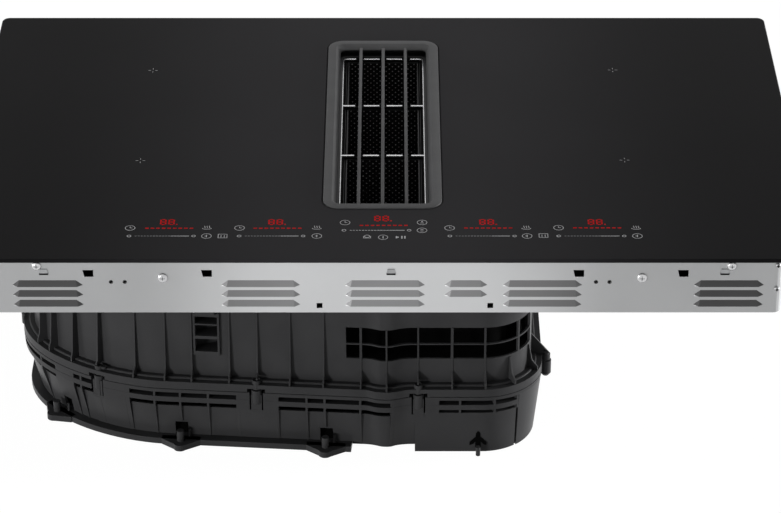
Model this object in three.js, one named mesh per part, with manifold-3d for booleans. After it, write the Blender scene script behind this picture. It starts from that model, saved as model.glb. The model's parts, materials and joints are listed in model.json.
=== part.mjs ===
// Downdraft induction cooktop: glass top with a vent in the middle, steel tray with four induction
// coils and their electronics, and a moulded blower housing under the tray.
// Millimetres. +X to the right, -Y to the front where the user stands, +Z up.
// The origin is under the middle of the glass, at the foot of the blower housing.
import * as THREE from 'three';
import { mergeVertices } from 'three/addons/utils/BufferGeometryUtils.js';
import { ConvexGeometry } from 'three/addons/geometries/ConvexGeometry.js';
import Module from 'manifold-3d';

const wasm = await Module();
wasm.setup();

// ---------------------------------------------------------------- driving dimensions

const GLASS_HEIGHT = 232; // top of the glass above the housing's foot
const FIT = 0.3; // running clearance between pieces that move or slide past each other

// glass and its seals
const GLASS_WIDTH = 802;
const GLASS_DEPTH = 522;
const GLASS_THICK = 4;
const GLASS_CORNER = 8;
const GLASS_BEVEL = 0.7;
const SEAL_THICK = 2;
const SEAL_WIDTH = 9;
const SEAL_SETBACK = 4;
const BEAD_THICK = 1.5;
const BEAD_WIDTH = 9;
const BEAD_SETBACK = 1;

// steel tray
const TRAY_SIDE_BORDER = 29.2; // how far the glass reaches past the tray at each side
const TRAY_FRONT_BORDER = 20; // and at the front and the back
const LAYOUT_WIDTH = 743.6; // size of the tray that the places in and on it are given for
const LAYOUT_DEPTH = 482;
const TRAY_DROP = 68; // tray's foot below the glass top
const TRAY_CORNER = 7;
const TRAY_FLANGE = 12;
const SHEET = 1.2;

// louvres: rows under each other, each hood pressed out over a slit
const LOUVRE_TOP = 33.7; // below the glass top
const LOUVRE_PITCH = 10.5;
const LOUVRE_HEIGHT = 5.5;
const LOUVRE_REACH = 2.9;
const LOUVRE_TAPER = 6;
const LOUVRE_SHEET = 0.8;
const LOUVRE_LEAD = 2; // how far the hood's front edge stops short of its tips
const LOUVRE_LIP = 0.4;

// groups of louvres on each wall: [left tip, right tip, rows]
const FRONT_LOUVRES = [
  [-344.3, -278.3, 3], [-150.1, -76.3, 3], [-34.9, 39.8, 3],
  [57.6, 97.8, 2], [112, 186, 3], [289.5, 355.1, 3],
];
const BACK_LOUVRES = [[-300, -226, 3], [226, 300, 3]];
const SIDE_LOUVRES = [[60, 134, 3]];

// holes and screws in the tray's front wall: places along X, drops below the glass top
const HOOK_HOLES = [-273.3, -163.2, 182.3, 279.3];
const HOOK_HOLE_WIDTH = 10;
const HOOK_HOLE_TOP = 22.6;
const HOOK_HOLE_FOOT = 29.8;
const SQUARE_HOLES = [-58.6, 100.7];
const SQUARE_HOLE = 5.4;
const SQUARE_HOLE_DROP = 60.6;
const PIN_HOLES = [-252.2, -239.4, 198.6, 211.2];
const PIN_HOLE_RADIUS = 1.3;
const PIN_HOLE_DROP = 35.3;
const TRAY_SCREWS = [-204.1, 241.2];
const TRAY_SCREW_DROP = 30.8;
const TRAY_SCREW_RADIUS = 3.4;
const CLAMP_SCREWS = [-320.8, 324.2];
const CLAMP_SCREW_DROP = 18.2;
const CLAMP_SCREW_RADIUS = 2.8;
const LANCES = [-314.4, 8.1, 318];
const LANCE_DROP = 25.7;
const LANCE_WIDTH = 4.5;
const HOOK_HOLE_TAPER = 1.6;
const LANCE_HEIGHT = 1.6;
const SCREW_FLANGE = 0.6;
const SCREW_DOME = 0.45; // height of a round head over its radius
const SCREW_LENGTH = 6.5;

// vent grille
const VENT_Y = 19.6;
const FRAME_WIDTH = 113;
const FRAME_LENGTH = 365.6;
const FRAME_CORNER = 16.5;
const FRAME_PROUD = 1.2;
const FRAME_RIM = 8.5;
const FRAME_SLOPE = 6;
const FRAME_HEIGHT = 11.7;
const BAR_WIDTH = 3.3;
const BAR_HEIGHT = 8;
const BAR_PITCH = 22.9;
const BAR_DROP = 1.4; // top of the bars below the frame's top
const GLASS_GAP = 0.6; // gap round the frame in the glass

// inlet collar and grease filter
const COLLAR_WALL = 2;
const COLLAR_FLANGE = 8;
const CHUTE_CORNER = 10;
const LEDGE_THICK = 4;
const RIM_LEDGE = 4.2; // the filter's rim lies this much below the grille's foot
const RIM_STRIP = 4;
const RIM_CORNER = 5;
const MOUTH_CORNER = 1.5;
const MOUTH_ROOM = 1; // round the filter's basket
const NECK_SIDE_ROOM = 7; // the collar's neck is this much wider than its rim pocket, each side
const NECK_END_ROOM = 3;
const RIM_THICK = 2.6;
const FILTER_DEPTH = 62;
const FILTER_WIDTH = 72;
const FILTER_SHEET = 1.2;
const FILTER_CELLS = 3;
const CELL_PLATE = 2;
const PANEL_COLUMNS = 6;
const PANEL_ROWS = 2;
const PANEL_WEB = 14; // metal between the openings of the filter's sides
const CONTAINER_WALL = 1.6;
const CONTAINER_CORNER = 8;
const CONTAINER_SETBACK = 4; // its ends stop this short of the filter's
const COLLAR_FOOT_DROP = 18; // how far the collar reaches through the tray into the housing

// blower housing: outline of its outer rim
const HOUSING_LEFT = -350;
const HOUSING_RIGHT = 154;
const HOUSING_FRONT = -227.4;
const HOUSING_BACK = 214;
const SHELL_CORNER = 59;
const SCROLL_FRONT_X = -205; // where the round left side meets the sloping front
const SCROLL_FRONT_Y = -212;
const SCROLL_SIDE_FRONT = -85;
const SCROLL_SIDE_BACK = -10;
const SCROLL_BACK_X = -150;
const SCROLL_SIDE_HANDLE = 70; // how far each curve of the scroll leans along its straight
const SCROLL_FRONT_HANDLE = 65;
const SCROLL_FRONT_RISE = 5;
const SCROLL_BACK_HANDLE = 110;
const BULGE_X = 4;
const BULGE_HALF = 25;
const BULGE_REACH = 5.2;
const WALL_INSET = 11;
const SHELL_WALL = 2.5;
const COVER_HEIGHT = 6.6;
const COVER_RIGHT = -30; // the bottom cover closes the housing left of this
const BAND_TOP = 70.9;
const BAND_HEIGHT = 12.2;
const SPLIT = 64.6; // height of the joint between the two shells, in the band
const FIN_TOP = 53.8;
const FIN_FOOT = 48.4;
const SLOT_FOOT = 44.3;
const RIB_THICK = 2;
const RIB_TOP_DROP = 8;
const RIB_TOP_DEPTH = 0.5; // a rib's depth at its narrow end
const FOOT_FLANGE = 2;
const FOOT_SETBACK = 5.5;
const BARE_WALL_FROM = 31; // right of this the lower shell is smooth, near the rim
const BARE_WALL_SETBACK = 1.5;

// windows in the upper shell
const WINDOW_TOP = 132.7;
const WINDOW_SHELF_TOP = 115.3;
const WINDOW_SHELF_FOOT = 113.9;
const WINDOW_FOOT = 99;
const WINDOW_DEPTH = 24;
const POCKET_LEFT = -176;
const POCKET_RIGHT = -154;
const POCKET_SHALLOW = 9; // depth of the pockets at their left end
const POCKET_DEPTH = 20; // and at their right end
const POCKET_PROUD = 3;
const POCKET_MARGIN = 4;
const BOX_WALL = 2;
const BOXES_BACK = -150; // the boxed wall ends here on the right side
const POCKETS = [[136, 128.3], [126, 115], [109.6, 98.6]];

// ribs along the front and the groups of windows between them
const FRONT_RIBS = [
  -333.6, -321.9, -299.8, -274.8, -238.9, -208.4, -182.6, -146.5, -119.9, -88.6, -56.6, -20.8, 3.8,
  33.8, 66.4, 98.1, 127.1,
];
const WINDOWS = [
  [-35.6, -22.4], [-21.5, 3], [4.7, 33.3], [34.5, 64.8], [66.5, 97], [98.8, 129], [130.8, 140.7],
];
const LOWER_RIBS = [
  -331, -299, -291, -273, -248, -218.9, -194, -167.2, -137.7, -101.8, -72.7, -55.4, -21.3, 10.3,
  52, 74, 107.2, 129.6,
];
const BACK_RIB_START = 20;
const BACK_RIB_PITCH = 96;
const BACK_RIBS_FROM = -120;
const BLANKS = [[-279, -243], [-140, -99.5], [8, 54]];

// screw bosses of the housing
const BOSS_RADIUS = 5.2;
const BOSS_TOP_RADIUS = 4.2;
const BOSS_TOP_HEIGHT = 10.4;
const BOSS_DROP = 16.6;
const BOSS_SETBACK = 4; // its centre inside the rim
const EAR_REACH = 4.2; // centre of the bosses at the two sides outside the rim
const BOSS_SLIT = 1.4; // gap beside a boss in the band
const BOSS_WEB = 4;
const GUSSET_RISE = 12; // a side boss's gusset above its top
const SCREW_HEAD = 2.9;
const SCREW_SINK = 2.8; // depth of the recess that a screw's head lies in
const SCREW_HEIGHT = 2.2;
const SHANK_RADIUS = 1.5;
const LOBE_REACH = 12.6;
const LOBE_HALF = 19;
const LOBE_RADIUS = 6.5;
const LOBE_PIN_RADIUS = 3.6;
const LOBE_PIN_HEIGHT = 9;
const LOBE_PIN_SETBACK = 2;
const LEFT_BOSS_Y = -84;
const RIGHT_BOSS_Y = -163;
const BAND_BOSSES = [-269.5, -120.7, 34.6];
const COVER_LOBES = [-317, -194.5, -54.7];
const BACK_LOBES = [-300, -180];
const LOCATOR_X = 91.6;
const LOCATOR_RADIUS = 2;
const LOCATOR_HEIGHT = 17;

// fan and its duct
const FAN_X = -188;
const FAN_Y = -18;
const IMPELLER_RADIUS = 112;
const IMPELLER_HEIGHT = 86;
const IMPELLER_FOOT = 17;
const BLADE_COUNT = 18;
const BLADE_CHORD = 20;
const BLADE_THICK = 1.6;
const BLADE_LEAN = 0.6; // radians, swept back from the radius
const SHROUD_WALL = 2;
const HUB_WALL = 2;
const HUB_ROOM = 4; // room between the motor's side and the hub that covers it
const HUB_RADIUS = 14;
const HUB_HEIGHT = 12;
const EYE_RADIUS = 84;
const LIP_WALL = 1.8; // rolled lip of the bell mouth
const LIP_CURVE = 7;
const LIP_DROP = 3.5;
const MOTOR_RADIUS = 44;
const MOTOR_HEIGHT = 42;
const MOTOR_CHAMFER = 3;
const MOTOR_LIFT = 6; // the motor's foot above the floor of the housing
const BRACKET_SHEET = 2;
const BRACKET_WIDTH = 12;
const BRACKET_REACH = 16;
const BRACKET_TURN = 0.4; // radians
const BRACKET_HOLE = 3;
const SHAFT_RADIUS = 4;
const SHAFT_REACH = 16;
const PLATE_HEIGHT = 108; // height of the plate with the bell mouth
const PLATE_THICK = 2.5;
const PLATE_LEDGE = 6; // the ledge in the upper shell that carries the plate
const DUCT_WIDTH = 222;
const DUCT_HEIGHT = 89;
const DUCT_X = -32;
const DUCT_WALL = 2.2;
const DUCT_REACH = 34;
const DUCT_FOOT = 13;
const DUCT_FLANGE = 6;
const DUCT_CORNER = 8;
const SPIGOT_FLANGE = 3;

// coils and electronics
const COIL_Y = [-64.5, 134.5];
const COIL_RADIUS = 88;
const COIL_BORE = 21;
const COIL_THICK = 3.6;
const CARRIER_BORDER = 5; // the carrier's edge outside the winding
const CARRIER_THICK = 3;
const COIL_TO_GLASS = 2.2;
const PLATE_SHEET = 1.5;
const PLATE_GAP = 10; // between a coil plate and the mains board's side
const PLATE_MARGIN = 34.8; // to the tray's side wall
const PLATE_FRONT_GAP = 6;
const PLATE_BACK_GAP = 8;
const PLATE_VENT = 0.4; // half length of its slots, in coil radii
const VENT_SLOT_X = 42;
const VENT_SLOT_WIDTH = 26;
const SENSOR_RADIUS = 12;
const CARRIER_WINDOW = 32; // width of the four windows in a coil's carrier
const BOARD_THICK = 1.6;
const BOARD_STANDOFF = 5;
const STANDOFF_SIZE = 7;
const BOARD_GAP = 6; // from the cooling fan to its board
const BOARD_MARGIN = 10; // to the coil plate's walls
const BOARD_LAYOUT = 184; // width of the board that its parts' places are given for
const BOARD_LENGTH = 292;
const BOARD_CANS = [[-66, 190, 13, 26], [-66, 225, 13, 26], [60, 205, 17, 20], [62, 250, 15, 22]];
const BOARD_BOXES = [[-10, 190, 38, 32, 19], [-84, 60, 22, 36, 14], [58, 40, 26, 50, 12]];
const SINK_WIDTH = 60;
const SINK_LENGTH = 150;
const SINK_HEIGHT = 26;
const SINK_FINS = 9;
const SINK_BASE = 5;
const SINK_SETBACK = 8;
const FIN_THICK = 2;
const COOLER_SIZE = 80;
const COOLER_HEIGHT = 25;
const COOLER_Y = -112;
const COOLER_BLADES = 5;
const COOLER_WALL = 2.5;
const COOLER_HUB = 15;
const COOLER_SEAT = 4;
const COOLER_CHORD = 22;
const COOLER_PITCH = 0.9; // radians
const INTAKE_PITCH = 12;
const INTAKE_SLOT = 4;
const CONTROL_WIDTH = 512;
const CONTROL_DEPTH = 54;
const CONTROL_SETBACK = 6;
const CONTROL_DROP = 8; // the control board's foot below the glass's underside
const CARRIER_WALL = 2;
const CARRIER_APRON = 12;

// touch controls: each display's place along X, and back from the glass's front edge
const DISPLAYS = [[-200, 71.5], [-98.8, 71.5], [0.5, 78.5], [99, 71.5], [200.8, 71.5]];
const DISPLAY_WIDTH = 18;
const DISPLAY_DEPTH = 13;

// mains inlet
const GLAND_X = 96;
const GLAND_RISE = 20.8; // above the tray's floor
const GLAND_RADIUS = 9;
const GLAND_BORE = 6;
const GLAND_NUT = 4;
const GLAND_INSIDE = 14;
const GLAND_OUTSIDE = 8;
const MAINS_WIDTH = 54;
const MAINS_LENGTH = 80;
const MAINS_FRONT = 96;
const CHOKE_PLACE = 0.3; // along the board
const CHOKE_RADIUS = 15;
const CHOKE_HEIGHT = 18;
const FUSE_HEIGHT = 14;
const FUSE_SIDE = 6;
const FUSE_SETBACK = 8;
const FUSE_DEPTH = 20;
const TERMINALS = 5;
const TERMINAL_PITCH = 9;
const TERMINAL_FRONT = 184;
const TERMINAL_DEPTH = 24;
const TERMINAL_BASE = 14;
const TERMINAL_CELL = 6;

// ---------------------------------------------------------------- heights worked out from them

const glassFoot = GLASS_HEIGHT - GLASS_THICK;
const trayTop = glassFoot - BEAD_THICK;
const trayWidth = GLASS_WIDTH - 2 * TRAY_SIDE_BORDER;
const trayDepth = GLASS_DEPTH - 2 * TRAY_FRONT_BORDER;
const frameLength = FRAME_LENGTH + trayDepth - LAYOUT_DEPTH;
const trayFoot = GLASS_HEIGHT - TRAY_DROP;
const trayFloor = trayFoot + SHEET;
const frameTop = GLASS_HEIGHT + FRAME_PROUD;
const frameFoot = frameTop - FRAME_HEIGHT;
const collarLedge = frameFoot - FIT;
const rimSeat = collarLedge - RIM_LEDGE;
const rimFoot = rimSeat + FIT;
const rimTop = rimFoot + RIM_THICK;
const filterFoot = rimFoot - FILTER_DEPTH;
const containerTop = filterFoot - FIT;
const collarFoot = trayFoot - COLLAR_FOOT_DROP;
const shelfTop = PLATE_HEIGHT + PLATE_THICK;
const containerFoot = shelfTop + FIT;
const shellTop = trayFoot;
const coilTop = glassFoot - COIL_TO_GLASS;
const coilFoot = coilTop - COIL_THICK;
const carrierFoot = coilFoot - CARRIER_THICK;
const boardFoot = trayFloor + BOARD_STANDOFF;
const boardTop = boardFoot + BOARD_THICK;
const impellerTop = IMPELLER_FOOT + IMPELLER_HEIGHT;
const motorFoot = SHELL_WALL + MOTOR_LIFT;
const controlFoot = glassFoot - CONTROL_DROP;
const glandZ = trayFloor + GLAND_RISE;

// A place laid out for the given tray, on the tray as it is.
function acrossTray(x) {
  return (x * trayWidth) / LAYOUT_WIDTH;
}

function alongTray(y) {
  return (y * trayDepth) / LAYOUT_DEPTH;
}

const controlFront = -trayDepth / 2 + TRAY_FLANGE + CONTROL_SETBACK;
const controlBack = controlFront + CONTROL_DEPTH;
const plateInside = GLAND_X + MAINS_WIDTH / 2 + PLATE_GAP;
const plateOutside = trayWidth / 2 - PLATE_MARGIN;
const plateFront = controlBack + PLATE_FRONT_GAP;
const plateBack = trayDepth / 2 - PLATE_BACK_GAP;
const coilX = (plateInside + plateOutside) / 2;
const coilPlaces = COIL_Y.map(alongTray);
const coilRadius = alongTray(COIL_RADIUS);
const coolerY = alongTray(COOLER_Y);
const boardWidth = plateOutside - plateInside - 2 * BOARD_MARGIN;
const boardLength = alongTray(BOARD_LENGTH);

// ---------------------------------------------------------------- solids

function toSolid(geometry) {
  const bare = geometry.clone();
  bare.deleteAttribute('normal');
  bare.deleteAttribute('uv');
  const merged = mergeVertices(bare, 1e-4);
  const triVerts = Uint32Array.from(merged.index.array);
  const vertProperties = Float32Array.from(merged.attributes.position.array);
  return new wasm.Manifold(new wasm.Mesh({ numProp: 3, vertProperties, triVerts }));
}

function toGeometry(solid) {
  const mesh = solid.getMesh();
  const indexed = new THREE.BufferGeometry();
  indexed.setAttribute('position', new THREE.BufferAttribute(mesh.vertProperties, 3));
  indexed.setIndex(new THREE.BufferAttribute(mesh.triVerts, 1));
  const geometry = indexed.toNonIndexed();
  geometry.computeVertexNormals();
  return geometry;
}

function join(...solids) {
  return solids.flat().reduce((sum, next) => sum.add(next));
}

function cut(solid, ...tools) {
  return tools.flat().reduce((rest, tool) => rest.subtract(tool), solid);
}

// A plate or a prism standing on z0, with holes as paths.
function slab(shape, z0, z1, holes = [], curveSegments = 2) {
  const outline = new THREE.Shape(shape.getPoints(curveSegments));
  outline.holes = holes.map((hole) => new THREE.Path(hole.getPoints(curveSegments)));
  const geometry = new THREE.ExtrudeGeometry(outline, { depth: z1 - z0, bevelEnabled: false });
  geometry.translate(0, 0, z0);
  return toSolid(geometry);
}

function block(x0, x1, y0, y1, z0, z1) {
  const geometry = new THREE.BoxGeometry(x1 - x0, y1 - y0, z1 - z0);
  geometry.translate((x0 + x1) / 2, (y0 + y1) / 2, (z0 + z1) / 2);
  return toSolid(geometry);
}

function pillar(x, y, radius, z0, z1, sides = 16) {
  const geometry = new THREE.CylinderGeometry(radius, radius, z1 - z0, sides);
  geometry.rotateX(Math.PI / 2);
  geometry.translate(x, y, (z0 + z1) / 2);
  return toSolid(geometry);
}

// A short rod along Y.
function rodAlongY(x, z, radius, y0, y1, sides = 12) {
  const geometry = new THREE.CylinderGeometry(radius, radius, y1 - y0, sides);
  geometry.translate(x, (y0 + y1) / 2, z);
  return toSolid(geometry);
}

// A round body turned about a vertical axis through (x, y); profile is [radius, height] pairs.
function turned(profile, x, y, sides = 32) {
  const points = profile.map(([radius, height]) => new THREE.Vector2(radius, height));
  const geometry = new THREE.LatheGeometry(points, sides);
  geometry.rotateX(Math.PI / 2);
  geometry.translate(x, y, 0);
  return toSolid(geometry);
}

function roundedRect(width, depth, radius, x = 0, y = 0) {
  const shape = new THREE.Shape();
  const w = width / 2 - radius;
  const d = depth / 2 - radius;
  shape.moveTo(x + w + radius, y - d);
  shape.lineTo(x + w + radius, y + d);
  shape.absarc(x + w, y + d, radius, 0, Math.PI / 2);
  shape.absarc(x - w, y + d, radius, Math.PI / 2, Math.PI);
  shape.absarc(x - w, y - d, radius, Math.PI, 1.5 * Math.PI);
  shape.absarc(x + w, y - d, radius, 1.5 * Math.PI, 2 * Math.PI);
  return shape;
}

// A body through outlines with the same number of points, each at its own height.
function loft(levels) {
  const count = levels[0].points.length;
  const positions = [];
  const index = [];
  for (const { points, z } of levels) {
    for (const point of points) positions.push(point.x, point.y, z);
  }
  for (let level = 0; level + 1 < levels.length; level += 1) {
    for (let i = 0; i < count; i += 1) {
      const a = level * count + i;
      const b = level * count + ((i + 1) % count);
      index.push(a, b, b + count);
      index.push(a, b + count, a + count);
    }
  }
  const top = (levels.length - 1) * count;
  for (const [a, b, c] of THREE.ShapeUtils.triangulateShape(levels[0].points, [])) {
    index.push(a, c, b);
    index.push(top + a, top + b, top + c);
  }
  const geometry = new THREE.BufferGeometry();
  geometry.setAttribute('position', new THREE.Float32BufferAttribute(positions, 3));
  geometry.setIndex(index);
  return toSolid(geometry);
}

function rectPoints(width, depth, radius, x, y) {
  const points = roundedRect(width, depth, radius, x, y).getPoints(3);
  return dropRepeats(points);
}

function dropRepeats(points) {
  return points.filter((point, i) => point.distanceTo(points[(i + 1) % points.length]) > 1e-3);
}

// ---------------------------------------------------------------- the housing's outline

function bulge(path, side) {
  const tip = new THREE.Vector2(BULGE_X, HOUSING_FRONT - BULGE_REACH);
  const foot = new THREE.Vector2(BULGE_X + side * BULGE_HALF, HOUSING_FRONT);
  const [from, to] = side < 0 ? [foot, tip] : [tip, foot];
  if (side < 0) path.lineTo(from.x, from.y);
  const lean = BULGE_HALF / 2;
  path.bezierCurveTo(from.x + lean, from.y, to.x - lean, to.y, to.x, to.y);
}

function housingOutline() {
  const path = new THREE.Path();
  path.moveTo(HOUSING_LEFT, SCROLL_SIDE_BACK);
  path.lineTo(HOUSING_LEFT, SCROLL_SIDE_FRONT);
  path.bezierCurveTo(
    HOUSING_LEFT, SCROLL_SIDE_FRONT - SCROLL_SIDE_HANDLE,
    SCROLL_FRONT_X - SCROLL_FRONT_HANDLE, SCROLL_FRONT_Y + SCROLL_FRONT_RISE,
    SCROLL_FRONT_X, SCROLL_FRONT_Y,
  );
  bulge(path, -1);
  bulge(path, 1);
  path.lineTo(HOUSING_RIGHT - SHELL_CORNER, HOUSING_FRONT);
  path.absarc(HOUSING_RIGHT - SHELL_CORNER, HOUSING_FRONT + SHELL_CORNER, SHELL_CORNER, -Math.PI / 2, 0);
  path.lineTo(HOUSING_RIGHT, HOUSING_BACK - SHELL_CORNER);
  path.absarc(HOUSING_RIGHT - SHELL_CORNER, HOUSING_BACK - SHELL_CORNER, SHELL_CORNER, 0, Math.PI / 2);
  path.lineTo(SCROLL_BACK_X, HOUSING_BACK);
  path.bezierCurveTo(
    SCROLL_BACK_X - SCROLL_BACK_HANDLE, HOUSING_BACK,
    HOUSING_LEFT, SCROLL_SIDE_BACK + SCROLL_BACK_HANDLE,
    HOUSING_LEFT, SCROLL_SIDE_BACK,
  );
  const [, scroll] = path.curves;
  const steps = (curve) => (curve === scroll ? 7 : 4);
  return dropRepeats(path.curves.flatMap((curve) => curve.getPoints(curve.isLineCurve ? 1 : steps(curve))));
}

const rim = housingOutline();

// The outline drawn in by a distance, each corner along its bisector.
function inset(points, distance) {
  return points.map((point, i) => {
    const before = points[(i + points.length - 1) % points.length];
    const after = points[(i + 1) % points.length];
    const in1 = new THREE.Vector2(before.y - point.y, point.x - before.x).normalize();
    const in2 = new THREE.Vector2(point.y - after.y, after.x - point.x).normalize();
    const bisector = in1.clone().add(in2).normalize();
    return point.clone().addScaledVector(bisector, distance / bisector.dot(in1));
  });
}

function shellRing(outer, inner, z0, z1) {
  const hole = new THREE.Path(inset(rim, inner));
  return slab(new THREE.Shape(inset(rim, outer)), z0, z1, [hole]);
}

function shellPlate(outer, z0, z1) {
  return slab(new THREE.Shape(inset(rim, outer)), z0, z1);
}

// The point of the outline at x on its front or back, with the direction that points out of the housing.
function wallPoint(x, front) {
  for (let i = 0; i < rim.length; i += 1) {
    const a = rim[i];
    const b = rim[(i + 1) % rim.length];
    const runsRight = b.x > a.x;
    const t = (x - a.x) / (b.x - a.x);
    if (runsRight === front && t >= 0 && t < 1) {
      const out = new THREE.Vector2(b.y - a.y, a.x - b.x).normalize();
      return { at: a.clone().lerp(b, t), out };
    }
  }
  throw new Error(`no wall at ${x}`);
}

function frontPoint(x) {
  return wallPoint(x, true);
}

// Places along the rim at equal steps of length, from one outline length to another.
function rimStations(from, to, step) {
  const stations = [];
  let run = 0;
  let next = from;
  for (let i = 0; i < rim.length; i += 1) {
    const a = rim[i];
    const b = rim[(i + 1) % rim.length];
    const length = a.distanceTo(b);
    while (next <= run + length && next <= to) {
      const out = new THREE.Vector2(b.y - a.y, a.x - b.x).normalize();
      stations.push({ at: a.clone().lerp(b, (next - run) / length), out });
      next += step;
    }
    run += length;
  }
  return stations;
}

// A rib square to the wall at a station: profile is [depth outwards, height] pairs.
function rib({ at, out }, profile, thickness = RIB_THICK) {
  const shape = new THREE.Shape(profile.map(([depth, height]) => new THREE.Vector2(depth, height)));
  const geometry = new THREE.ExtrudeGeometry(shape, { depth: thickness, bevelEnabled: false });
  geometry.translate(0, 0, -thickness / 2);
  const x = new THREE.Vector3(out.x, out.y, 0);
  const y = new THREE.Vector3(0, 0, 1);
  const z = new THREE.Vector3().crossVectors(x, y);
  const frame = new THREE.Matrix4().makeBasis(x, y, z);
  frame.setPosition(at.x, at.y, 0);
  geometry.applyMatrix4(frame);
  return toSolid(geometry);
}

// ---------------------------------------------------------------- glass, seals and tray

function glassTop() {
  const plate = roundedRect(GLASS_WIDTH, GLASS_DEPTH, GLASS_CORNER);
  const gap = 2 * GLASS_GAP;
  const vent = roundedRect(FRAME_WIDTH + gap, frameLength + gap, FRAME_CORNER + GLASS_GAP, 0, VENT_Y);
  const outline = new THREE.Shape(plate.getPoints(2));
  outline.holes = [new THREE.Path(vent.getPoints(3))];
  const geometry = new THREE.ExtrudeGeometry(outline, {
    depth: GLASS_THICK - 2 * GLASS_BEVEL,
    bevelThickness: GLASS_BEVEL,
    bevelSize: GLASS_BEVEL,
    bevelOffset: -GLASS_BEVEL,
    bevelSegments: 1,
  });
  geometry.translate(0, 0, glassFoot + GLASS_BEVEL);
  return toSolid(geometry);
}

function flatRing(width, depth, radius, strip, z0, z1, y = 0) {
  const outer = roundedRect(width, depth, radius, 0, y);
  const inner = roundedRect(width - 2 * strip, depth - 2 * strip, Math.max(radius - strip, 1), 0, y);
  return slab(outer, z0, z1, [inner], 1);
}

function worktopSeal() {
  const width = GLASS_WIDTH - 2 * SEAL_SETBACK;
  const depth = GLASS_DEPTH - 2 * SEAL_SETBACK;
  return flatRing(width, depth, GLASS_CORNER, SEAL_WIDTH, glassFoot - SEAL_THICK, glassFoot);
}

function glassBead() {
  const width = trayWidth - 2 * BEAD_SETBACK;
  const depth = trayDepth - 2 * BEAD_SETBACK;
  return flatRing(width, depth, TRAY_CORNER, BEAD_WIDTH, trayTop, glassFoot);
}

// One louvre on a wall in the XZ plane at y = 0 that faces -Y: a hood and the opening under it.
function louvre(x0, x1, top) {
  const foot = top - LOUVRE_HEIGHT;
  const hull = (grow, y, drop, back) => new ConvexGeometry([
    new THREE.Vector3(x0 + LOUVRE_TAPER + grow, y, top - grow),
    new THREE.Vector3(x1 - LOUVRE_TAPER - grow, y, top - grow),
    new THREE.Vector3(x0 + grow, y, foot - drop),
    new THREE.Vector3(x1 - grow, y, foot - drop),
    new THREE.Vector3(x0 + grow + LOUVRE_LEAD, back - LOUVRE_REACH, foot - drop),
    new THREE.Vector3(x1 - grow - LOUVRE_LEAD, back - LOUVRE_REACH, foot - drop),
  ]);
  const hood = toSolid(hull(0, SHEET / 2, 0, 0));
  const opening = toSolid(hull(LOUVRE_SHEET, SHEET + 1, LOUVRE_LIP, LOUVRE_SHEET));
  return { hood, opening };
}

function louvresOn(groups, along, place) {
  const hoods = [];
  const openings = [];
  for (const [x0, x1, rows] of groups) {
    for (let row = 0; row < rows; row += 1) {
      const top = GLASS_HEIGHT - LOUVRE_TOP - row * LOUVRE_PITCH;
      const { hood, opening } = louvre(along(x0), along(x1), top);
      hoods.push(place(hood));
      openings.push(place(opening));
    }
  }
  return { hoods, openings };
}

// A punched hole through the front wall: corners as [x, drop below the glass top].
function punched(corners) {
  const wall = -trayDepth / 2;
  const shape = new THREE.Shape(corners.map(([x, drop]) => new THREE.Vector2(x, GLASS_HEIGHT - drop)));
  const geometry = new THREE.ExtrudeGeometry(shape, { depth: 4 * SHEET, bevelEnabled: false });
  geometry.rotateX(Math.PI / 2);
  geometry.translate(0, wall + 3 * SHEET, 0);
  return toSolid(geometry);
}

function frontHoles() {
  const wall = -trayDepth / 2;
  const half = HOOK_HOLE_WIDTH / 2;
  const hooks = HOOK_HOLES.map(acrossTray).map((x) => punched([
    [x - half, HOOK_HOLE_TOP],
    [x - half + HOOK_HOLE_TAPER, HOOK_HOLE_FOOT],
    [x + half, HOOK_HOLE_FOOT],
    [x + half, HOOK_HOLE_TOP],
  ]));
  const squareHigh = SQUARE_HOLE_DROP - SQUARE_HOLE / 2;
  const squareLow = SQUARE_HOLE_DROP + SQUARE_HOLE / 2;
  const squares = SQUARE_HOLES.map(acrossTray).map((x) => punched([
    [x - SQUARE_HOLE / 2, squareHigh],
    [x - SQUARE_HOLE / 2, squareLow],
    [x + SQUARE_HOLE / 2, squareLow],
    [x + SQUARE_HOLE / 2, squareHigh],
  ]));
  const pinZ = GLASS_HEIGHT - PIN_HOLE_DROP;
  const pins = PIN_HOLES.map(acrossTray).map((x) => (
    rodAlongY(x, pinZ, PIN_HOLE_RADIUS, wall - SHEET, wall + 2 * SHEET, 8)
  ));
  const lances = LANCES.map(acrossTray).map((x) => punched([
    [x - LANCE_WIDTH / 2, LANCE_DROP],
    [x - LANCE_WIDTH / 2, LANCE_DROP + LANCE_HEIGHT],
    [x + LANCE_WIDTH / 2, LANCE_DROP + LANCE_HEIGHT],
    [x + LANCE_WIDTH / 2, LANCE_DROP],
  ]));
  return [...hooks, ...squares, ...pins, ...lances];
}

function screwHoles(places, drop) {
  const wall = -trayDepth / 2;
  const z = GLASS_HEIGHT - drop;
  return places.map(acrossTray).map((x) => (
    rodAlongY(x, z, SHANK_RADIUS + FIT, wall - SHEET, wall + 2 * SHEET, 8)
  ));
}

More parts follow.
